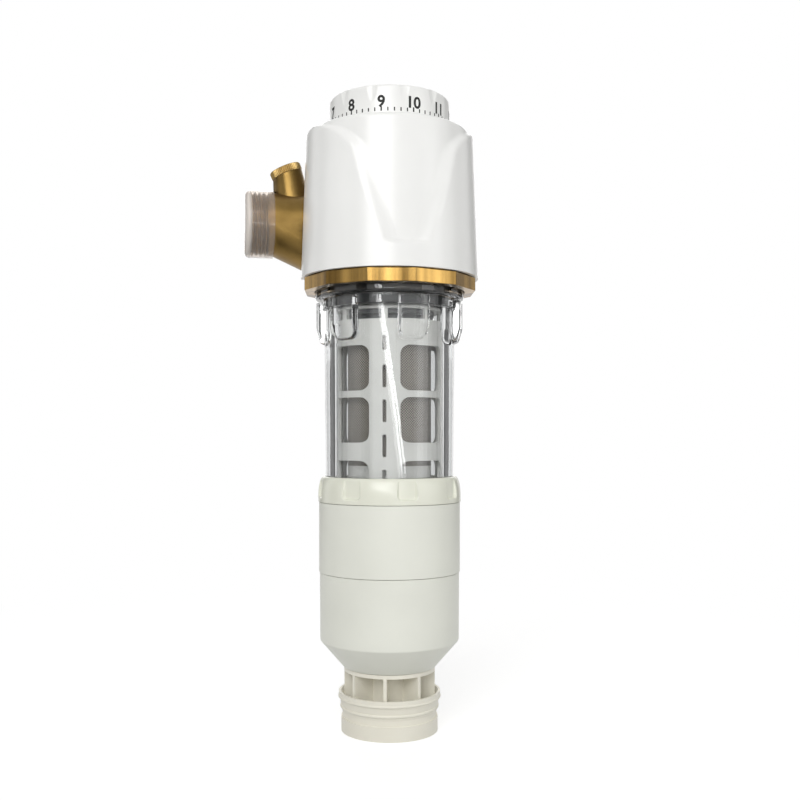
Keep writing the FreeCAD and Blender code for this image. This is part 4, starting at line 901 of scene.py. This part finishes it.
def bowl_section():
    """Up the outside, over the bead, the flange and the neck, and down the bore."""
    plain = np.linspace(TUBE_FOOT + 4, LUG_TOP - LUG_H - 2, 12)
    lugged = np.linspace(LUG_TOP - LUG_H - 1, LUG_TOP + 0.4, 60)
    bead = outline([(THROAT_R, BEAD_Z - 2, 0), (THROAT_R, BEAD_Z, 0.4),
                    (BEAD_R, BEAD_Z, BEAD_ROUND), (BEAD_R, FLANGE_Z, 0)], 5)
    return np.concatenate([
        section_of((TUBE_IN_R, BOWL_FOOT), (END_R, BOWL_FOOT), (END_R, STEP_Z), (STEP_R, STEP_Z),
                   (STEP_R, TUBE_FOOT), (TUBE_R, TUBE_FOOT)),
        upright(tube_radius(plain), plain),
        upright(np.where(lugged < TUBE_TOP, tube_radius(lugged), THROAT_R), lugged),
        bead[1:],
        section_of((FLANGE_R, FLANGE_Z), (FLANGE_R, FLANGE_TOP), (NECK_R, FLANGE_TOP),
                   (NECK_R, BOWL_TOP), (NECK_IN_R, BOWL_TOP), (NECK_IN_R, TUBE_TOP),
                   (TUBE_IN_R, TUBE_TOP)),
    ])


def bowl_grid(segments=720):
    """The section carried round, raised to the lugs where they lie."""
    angles, own, height = round_grid(bowl_section(), segments)
    around = np.radians(off_middle(angles, LUG_COUNT, LUG_TURN)) * LUG_ARC_R
    middle = LUG_TOP - LUG_H / 2 + LUG_OVER
    distance = rounded_box_distance(around, height - middle, LUG_W / 2, LUG_H / 2 + LUG_OVER,
                                    LUG_CORNER)
    slope = np.clip((height - LUG_TOP + LUG_H) / LUG_SLOPE_H, 0, 1)
    lug = LUG_FOOT_R + (LUG_R - LUG_FOOT_R) * slope
    step = ease(np.clip(-distance / LUG_STEP, 0, 1))
    rim = LUG_RIM * np.exp(-(((distance + LUG_STEP) / LUG_RIM_W) ** 2))
    on_wall = (own >= TUBE_R) & (height > LUG_TOP - LUG_H - 1) & (height < LUG_TOP + 0.1)
    bent = np.where(on_wall & (lug > own), own + (lug - own) * step + rim, own)
    return around_axis(angles, bent, height)


build("bowl_shell", [bowl_grid()], [(True, True)], bowl_clear, "filter",
      ["bowl"], crease=50)


# %% [markdown]
# ## Lower union nut
# The cream cap nut has eight shallow finger notches that run out over its rounded top edge. A notch
# is the same rounded rectangle as a lug, cut inwards: the wall's radius falls by the notch's depth
# over a short slope where the distance to its edge is negative.

# %% Lower union nut
NUT_FOOT, NUT_TOP = lowest("lower_union_nut")[2], highest("lower_union_nut")[2]
NUT_R, NUT_BORE_R, NUT_LIP_R = highest("lower_union_nut")[0], 34.9, 33.3
NUT_BORE_H = 9.0
NUT_NOTCHES, NUT_TURN = 8, 2.5
NOTCH_W, NOTCH_H, NOTCH_DEPTH, NOTCH_CORNER, NOTCH_SLOPE = 11.0, 11.0, 1.6, 2.4, 1.3
NOTCH_OVER = 2.0                # half of how far the rectangle runs on over the nut's top
NUT_ROUND, NUT_ROUND_H = 2.8, 9.5       # the top edge is a quarter ellipse


def nut_grid(segments=960):
    """A closed section from the bore's foot out, up the notched wall and in over the top."""
    lip = NUT_FOOT + NUT_BORE_H
    section = np.concatenate([
        section_of((NUT_R, NUT_FOOT)),
        upright(NUT_R, np.linspace(NUT_TOP - NOTCH_H - 1, NUT_TOP - NUT_ROUND_H, 12)),
        rounded_top(NUT_R, NUT_TOP, NUT_ROUND, NUT_ROUND_H, 40),
        section_of((NUT_LIP_R, NUT_TOP), (NUT_LIP_R, lip), (NUT_BORE_R, lip), (NUT_BORE_R, NUT_FOOT)),
    ])
    angles, radius, height = round_grid(section, segments)
    around = np.radians(off_middle(angles, NUT_NOTCHES, NUT_TURN)) * NUT_R
    half = NOTCH_H / 2 + NOTCH_OVER
    distance = rounded_box_distance(around, height - (NUT_TOP - NOTCH_H + half), NOTCH_W / 2, half,
                                    NOTCH_CORNER)
    bite = NOTCH_DEPTH * ease(np.clip(-distance / NOTCH_SLOPE, 0, 1))
    return around_axis(angles, np.minimum(radius, NUT_R - bite), height)


build("cap_nut", [nut_grid()], [(True, True)], nut_cream, "filter",
      ["lower_union_nut"], crease=40)


# %% [markdown]
# ## Spigot ridges
# Two low ridges run round the skirt of the drain spigot: one closes the rim's lower edge, and one
# lies half way down. Each is half an ellipse, (r + out cos t, z + half sin t), closed inside the wall.

# %% Spigot ridges
RIDGE_ROOT = 0.6                # how deep a ridge is rooted in the wall


def ridge_grid(radius, height, out, half):
    """A half elliptic bead round the axis, rooted in the wall."""
    t = np.radians(np.linspace(-90, 90, 11))
    bead = np.stack([radius + out * np.cos(t), height + half * np.sin(t)], -1)
    root = section_of((radius - RIDGE_ROOT, height + half), (radius - RIDGE_ROOT, height - half))
    return spin(np.concatenate([bead, root]))


RIM_R, SPIGOT_FOOT = highest("drain_spigot")[0], lowest("drain_spigot")[2]
RIDGES = ((RIM_R, SPIGOT_FOOT + 17.8, 0.3, 0.6), (RIM_R - 1.28, SPIGOT_FOOT + 12.7, 0.55, 0.8))
build("spigot_ridges", [ridge_grid(*r) for r in RIDGES], [(True, True)] * 2, spigot_cream, "spigot",
      crease=50)


# %% [markdown]
# ## Inlet thread and transport cap
# The inlet's thread shows through its milky transport cap. A thread is a grid whose radius follows
# a wave along the pipe that moves on by one pitch each turn. The cap is a thin cup over it.

# %% Inlet thread
CORE_R, CREST_R, PITCH = 15.3, 16.6, 2.3
THREAD_FROM, THREAD_TO = -72.2, -61.2
THREAD_ROOT, THREAD_LIFT = 0.6, 0.02    # how deep its sleeve is rooted in the pipe, and stands out


def pipe_grid(along, radius, segments):
    """Rings round the pipe line: along and radius are (segments, rows) arrays, X and distance."""
    angles = np.arange(segments)[:, None] * 2 * np.pi / segments
    return np.stack([along + 0 * angles, PIPE_Y + radius * np.cos(angles),
                     PIPE_Z + radius * np.sin(angles)], -1)


def thread_grid(segments=120, per_turn=12):
    """The crest's height is a triangle wave w of (x / pitch - turn), made steeper and cut off at
    both ends, 1.5 w - 0.2 between 0 and 1, so the ridge has a flat crest and climbs one pitch a
    turn; it fades in over the first half pitch and out over the last."""
    turns = (THREAD_TO - THREAD_FROM) / PITCH
    x = np.linspace(THREAD_FROM, THREAD_TO, int(turns * per_turn))[None, :]
    turn = (x - THREAD_FROM) / PITCH - np.arange(segments)[:, None] / segments
    wave = 1 - 2 * np.abs(turn - np.floor(turn) - 0.5)
    ridge = np.clip(wave * 1.5 - 0.2, 0, 1)
    fade = np.clip(np.minimum(x - THREAD_FROM, THREAD_TO - x) / (PITCH / 2), 0, 1)
    outer = CORE_R + THREAD_LIFT + (CREST_R - CORE_R) * ridge * fade
    along = np.concatenate([x, x[:, ::-1]], 1)
    radius = np.concatenate([outer, np.full(outer.shape, CORE_R - THREAD_ROOT)], 1)
    return pipe_grid(along, radius, segments)[::-1]


build("inlet_thread", [thread_grid()], [(True, True)], cast_brass, "filter", crease=50)

# %% Transport cap
CAP_R = (highest("inlet_cap")[2] - lowest("inlet_cap")[2]) / 2
CAP_WALL, CAP_PLATE = 0.75, 1.0


def cap_grid(segments=180):
    """A thin cup: closed end, edge chamfered in two steps, and open mouth, outside and inside."""
    bore, floor_x = CAP_R - CAP_WALL, CAP_END + CAP_PLATE
    section = section_of(
        (CAP_END, 0), (CAP_END, CAP_R - 2.6), (CAP_END + 0.8, CAP_R - 0.9), (CAP_END + 2.2, CAP_R),
        (CAP_MOUTH, CAP_R), (CAP_MOUTH, bore), (CAP_END + 1.9, bore), (floor_x, CAP_R - 1.7),
        (floor_x, 0),
    )
    _, along, radius = round_grid(section, segments)
    return pipe_grid(along, radius, segments)[::-1]


build("transport_cap", [cap_grid()], [(True, False)], cap_milky, "cap",
      ["inlet_cap"], crease=50)

# %% [markdown]
# ## Gauge plug
# The plug of the gauge port is knurled: fine teeth run round its head, so the rim's radius follows a
# fast wave, r - depth (1 - |sin(n v / 2)|), round the plug's own leaning axis.

# %% Gauge plug
PLUG_LEAN = math.radians(22.7)
PLUG_AXIS = np.array([-math.sin(PLUG_LEAN), 0, math.cos(PLUG_LEAN)])
PLUG_SIDE = np.array([math.cos(PLUG_LEAN), 0, math.sin(PLUG_LEAN)])
PLUG_FOOT = np.array([-50.6, PIPE_Y, PIPE_Z + 27.1])
PLUG_R, SHANK_R, TOOTH_DEPTH = 8.5, 4.9, 0.5


def plug_grid(segments=576, teeth=48):
    """The head with its teeth, and the shank in the port, round the leaning axis."""
    section = section_of(
        (0, -8.4), (SHANK_R, -8.4), (SHANK_R, 0.6), (7.8, 0.6), (7.8, 0.1), (8.2, 0.1),
        (PLUG_R, 0.4), (PLUG_R, 3.3), (8.1, 3.8), (0, 3.8),
    )
    degrees, radius, rise = round_grid(section, segments)
    angles = np.radians(degrees)
    teeth_in = TOOTH_DEPTH * (1 - np.abs(np.sin(teeth / 2 * angles)))
    radius = np.where(radius == PLUG_R, radius - teeth_in, radius)[..., None]
    side, back = np.cos(angles)[..., None], np.sin(angles)[..., None]
    return PLUG_FOOT + radius * (side * PLUG_SIDE + back * [0, 1, 0]) + rise[..., None] * PLUG_AXIS


build("knurled_plug", [plug_grid()], [(True, False)], plug_brass, "filter",
      ["gauge_port_plug"], crease=30)


# %% [markdown]
# ## Wire sleeve
# A thin tube of cloth between its two radii. Its UV map unrolls it in millimetres and turns it by
# 45 degrees, U = (z + s) / sqrt 2 and V = (z - s) / sqrt 2 with s the way round, because the cloth
# is laid on the slant. So the weave of the finish keeps its pitch.

# %% Wire sleeve
SLEEVE_R, SLEEVE_IN_R, SLEEVE_ROWS = 21.6, 20.8, 24


def sleeve_grid(segments=180):
    """The tube's closed section, carried round to where it began, so that U can run on."""
    rows = np.linspace(lowest("mesh_sleeve")[2], highest("mesh_sleeve")[2], SLEEVE_ROWS)
    section = np.concatenate([upright(SLEEVE_R, rows), upright(SLEEVE_IN_R, rows[::-1])])
    angles, radius, up = laid_round(section, np.linspace(0, 360, segments + 1))
    across = np.radians(angles) * SLEEVE_R
    uv = np.stack([up + across, up - across], -1) * math.sqrt(0.5)
    return around_axis(angles, radius, up), uv


sleeve, sleeve_uv = sleeve_grid()
build("wire_sleeve", [sleeve], [(False, True)], steel_weave, "filter",
      ["mesh_sleeve"], uv=sleeve_uv)


# %% [markdown]
# ## World and floor
# The filter was photographed on white. The world and the floor show themselves white to the camera,
# in reflections and through clear plastic, but light the filter much less than they show. A Light
# Path node tells the two kinds of rays apart.

# %% World
SHOWN_TO = ("Is Camera Ray", "Is Glossy Ray", "Is Transmission Ray")


def shown_or_lighting(tree_nodes, links, lighting, shown):
    """The shown shader for the rays of SHOWN_TO, and the lighting one for all others."""
    rays = tree_nodes.new("ShaderNodeLightPath")
    share = rays.outputs[SHOWN_TO[0]]
    for kind in SHOWN_TO[1:]:
        share = larger(tree_nodes, links, share, rays.outputs[kind])
    return mixed(tree_nodes, links, share, lighting, shown)


world = bpy.data.worlds.new("studio")
bpy.context.scene.world = world
world.use_nodes = True
n, links = world.node_tree.nodes, world.node_tree.links
room, white = n["Background"], n.new("ShaderNodeBackground")
for light, colour, strength in ((room, (1, 1, 0.985, 1), 0.42), (white, (1, 1, 1, 1), 1.0)):
    light.inputs["Color"].default_value = colour
    light.inputs["Strength"].default_value = strength
surface = shown_or_lighting(n, links, room.outputs["Background"], white.outputs["Background"])
links.new(surface, n["World Output"].inputs["Surface"])
print("the world lights with", room.inputs["Strength"].default_value)

# %% Floor
FLOOR_HALF = 3.0                # metres
FADE_FROM, FADE_TO = 0.12, 0.5  # the floor turns plain white between these distances, in metres


def far_away(tree_nodes, links):
    """0 near the filter and 1 far from it, with a soft start and end: the distance's smoothstep."""
    coords, distance = tree_nodes.new("ShaderNodeTexCoord"), tree_nodes.new("ShaderNodeVectorMath")
    distance.operation = "LENGTH"
    fade = tree_nodes.new("ShaderNodeMapRange")
    fade.interpolation_type = "SMOOTHSTEP"
    fade.inputs["From Min"].default_value = FADE_FROM
    fade.inputs["From Max"].default_value = FADE_TO
    links.new(coords.outputs["Object"], distance.inputs[0])
    links.new(distance.outputs["Value"], fade.inputs["Value"])
    return fade.outputs["Result"]


def floor_finish():
    """Matt grey that glows a little, so that it is near white with a soft shadow, and plain white
    further out."""
    mat, n, links, matt = new_material("floor_white")
    matt.inputs["Base Color"].default_value = (0.62, 0.62, 0.62, 1)
    matt.inputs["Roughness"].default_value = 0.9
    glow, far = n.new("ShaderNodeEmission"), n.new("ShaderNodeEmission")
    glow.inputs["Strength"].default_value = 0.56
    lit = n.new("ShaderNodeAddShader")
    links.new(matt.outputs["BSDF"], lit.inputs[0])
    links.new(glow.outputs["Emission"], lit.inputs[1])
    shown = mixed(n, links, far_away(n, links), lit.outputs["Shader"], far.outputs["Emission"])
    surface = shown_or_lighting(n, links, matt.outputs["BSDF"], shown)
    links.new(surface, n["Material Output"].inputs["Surface"])
    return mat


floor_mesh = bpy.data.meshes.new("floor")
floor_mesh.from_pydata([(x * FLOOR_HALF, y * FLOOR_HALF, 0) for x, y in
                        ((-1, -1), (1, -1), (1, 1), (-1, 1))], [], [(0, 1, 2, 3)])
floor = put("floor", floor_mesh)
floor.data.materials.append(floor_finish())
print("floor", 2 * FLOOR_HALF, "m wide")


# %% [markdown]
# ## Dark cards
# White on white has no edge, and neither has glass. A photographer stands dark cards out of sight
# at the sides, and the clear bowl and the brass pick them up as dark lines. Neither the camera nor
# the lamps' light meets them.

# %% Dark cards
TURN = math.radians(11.5)       # the object stands turned by this against the view
card_dark, n, links, card_shader = new_material("card_dark")
card_tone = ramp(n, links, noise(n, links, 6), (0.012, 0.012, 0.012, 1), (0.03, 0.03, 0.03, 1))
links.new(card_tone, card_shader.inputs["Base Color"])
card_shader.inputs["Roughness"].default_value = 0.8


def from_view(degrees, distance, height):
    """A place in metres: the angle from the camera's side towards its right, and the height."""
    a = math.radians(degrees) - TURN
    return distance * math.sin(a), -distance * math.cos(a), height


def place_card(name, corners):
    """A dark quad that only reflections and refractions show."""
    mesh = bpy.data.meshes.new(name)
    mesh.from_pydata(corners, [], [(0, 1, 2, 3)])
    item = put(name, mesh)
    mesh.materials.append(card_dark)
    item.visible_camera = False
    item.visible_diffuse = False
    item.visible_shadow = False
    return item


def upright_card(name, degrees, distance, width, height):
    """A card that stands on the floor and faces the axis."""
    x, y, _ = from_view(degrees, distance, 0)
    along = np.array([-y, x]) / math.hypot(x, y) * width / 2
    left, right = (x - along[0], y - along[1]), (x + along[0], y + along[1])
    place_card(name, [(*left, 0), (*right, 0), (*right, height), (*left, height)])


low_card = place_card("card_low", [from_view(degrees, distance, 0.03) for degrees, distance in
                                   ((-60, 0.12), (-20, 0.34), (-60, 0.5), (-100, 0.34))])
low_card.visible_transmission = False
CARDS = {
    "card_back_left": (-138, 0.8, 0.3, 1.2),
    "card_back_right": (138, 0.8, 0.3, 1.2),
    "card_left": (-98, 0.7, 0.22, 1.2),
    "card_right": (98, 0.7, 0.22, 1.2),
    "card_front_left": (-42, 1.2, 0.35, 1.1),
}
for name, place in CARDS.items():
    upright_card(name, *place)
print(len(CARDS) + 1, "dark cards")


# %% [markdown]
# ## Lamps
# The light comes from a large soft lamp at the upper left front, with a weaker one at the right and
# one behind. Two long narrow lamps draw the slanting white streak on the bowl. They only show in
# reflections, so they leave the plain surfaces alone.

# %% Lamps
LAMP_AIM = np.array([0, 0, 0.17])
STREAK_AWAY, STREAK_TOP, STREAK_FOOT = 0.6, 0.304, 0.103


def lamp(name, watts, size, place, tall=None):
    """An area lamp at a place in metres, aimed at the bowl."""
    data = bpy.data.lights.new(name, "AREA")
    data.energy = watts
    data.shape = "RECTANGLE"
    data.size = size
    data.size_y = tall or size
    item = put(name, data)
    item.location = place
    away = Vector(np.array(place, float) - LAMP_AIM)
    item.rotation_euler = away.to_track_quat("Z", "Y").to_euler()
    return item


def streak(name, watts, width, top_degrees, foot_degrees):
    """A long narrow lamp between two bearings, facing the axis; it only shows in reflections."""
    start = Vector(from_view(top_degrees, STREAK_AWAY, STREAK_TOP))
    end = Vector(from_view(foot_degrees, STREAK_AWAY, STREAK_FOOT))
    middle, along = (start + end) / 2, end - start
    strip = lamp(name, watts, along.length, middle, tall=width)
    outwards = Vector((middle.x, middle.y, 0)).normalized()
    x_axis = along.normalized()
    z_axis = (outwards - x_axis * outwards.dot(x_axis)).normalized()
    strip.rotation_euler = Matrix((x_axis, z_axis.cross(x_axis), z_axis)).transposed().to_euler()
    strip.visible_diffuse = False


lamp("key", 11, 0.9, (-0.55, -1.25, 0.85))
lamp("fill", 2.5, 0.5, (1.0, -0.9, 0.35), tall=1.1)
lamp("back", 3, 0.8, (0.2, 1.1, 0.7))
streak("streak", 0.24, 0.016, -17, 27.6)
streak("streak_echo", 0.15, 0.02, -22, 22)
print(len(bpy.data.lights), "lamps")


# %% [markdown]
# ## Camera
# The camera stands half a metre from the filter's axis and looks level, as the photo was taken. It
# isn't tilted: its picture is shifted instead, so that upright edges stay upright.

# %% Camera
EYE, EYE_H = 0.52, 0.1525       # metres from the axis, and above the spigot's foot
PHOTO_SIDE = 800                # pixels along a side of the picture
AXIS_PIXEL, HORIZON_PIXEL = 389.5, 435  # the axis from the left, and the eye's height from the top
camera_data = bpy.data.cameras.new("camera")
camera = put("camera", camera_data)
camera_data.sensor_width = 36
camera_data.lens = 45
camera_data.shift_x = (PHOTO_SIDE / 2 - AXIS_PIXEL) / PHOTO_SIDE
camera_data.shift_y = (HORIZON_PIXEL - PHOTO_SIDE / 2) / PHOTO_SIDE
camera.location = (-EYE * math.sin(TURN), -EYE * math.cos(TURN), EYE_H)
camera.rotation_euler = (math.pi / 2, 0, -TURN)
bpy.context.scene.camera = camera
bpy.context.scene.view_settings.view_transform = "Standard"
print("camera at", [round(v, 4) for v in camera.location])
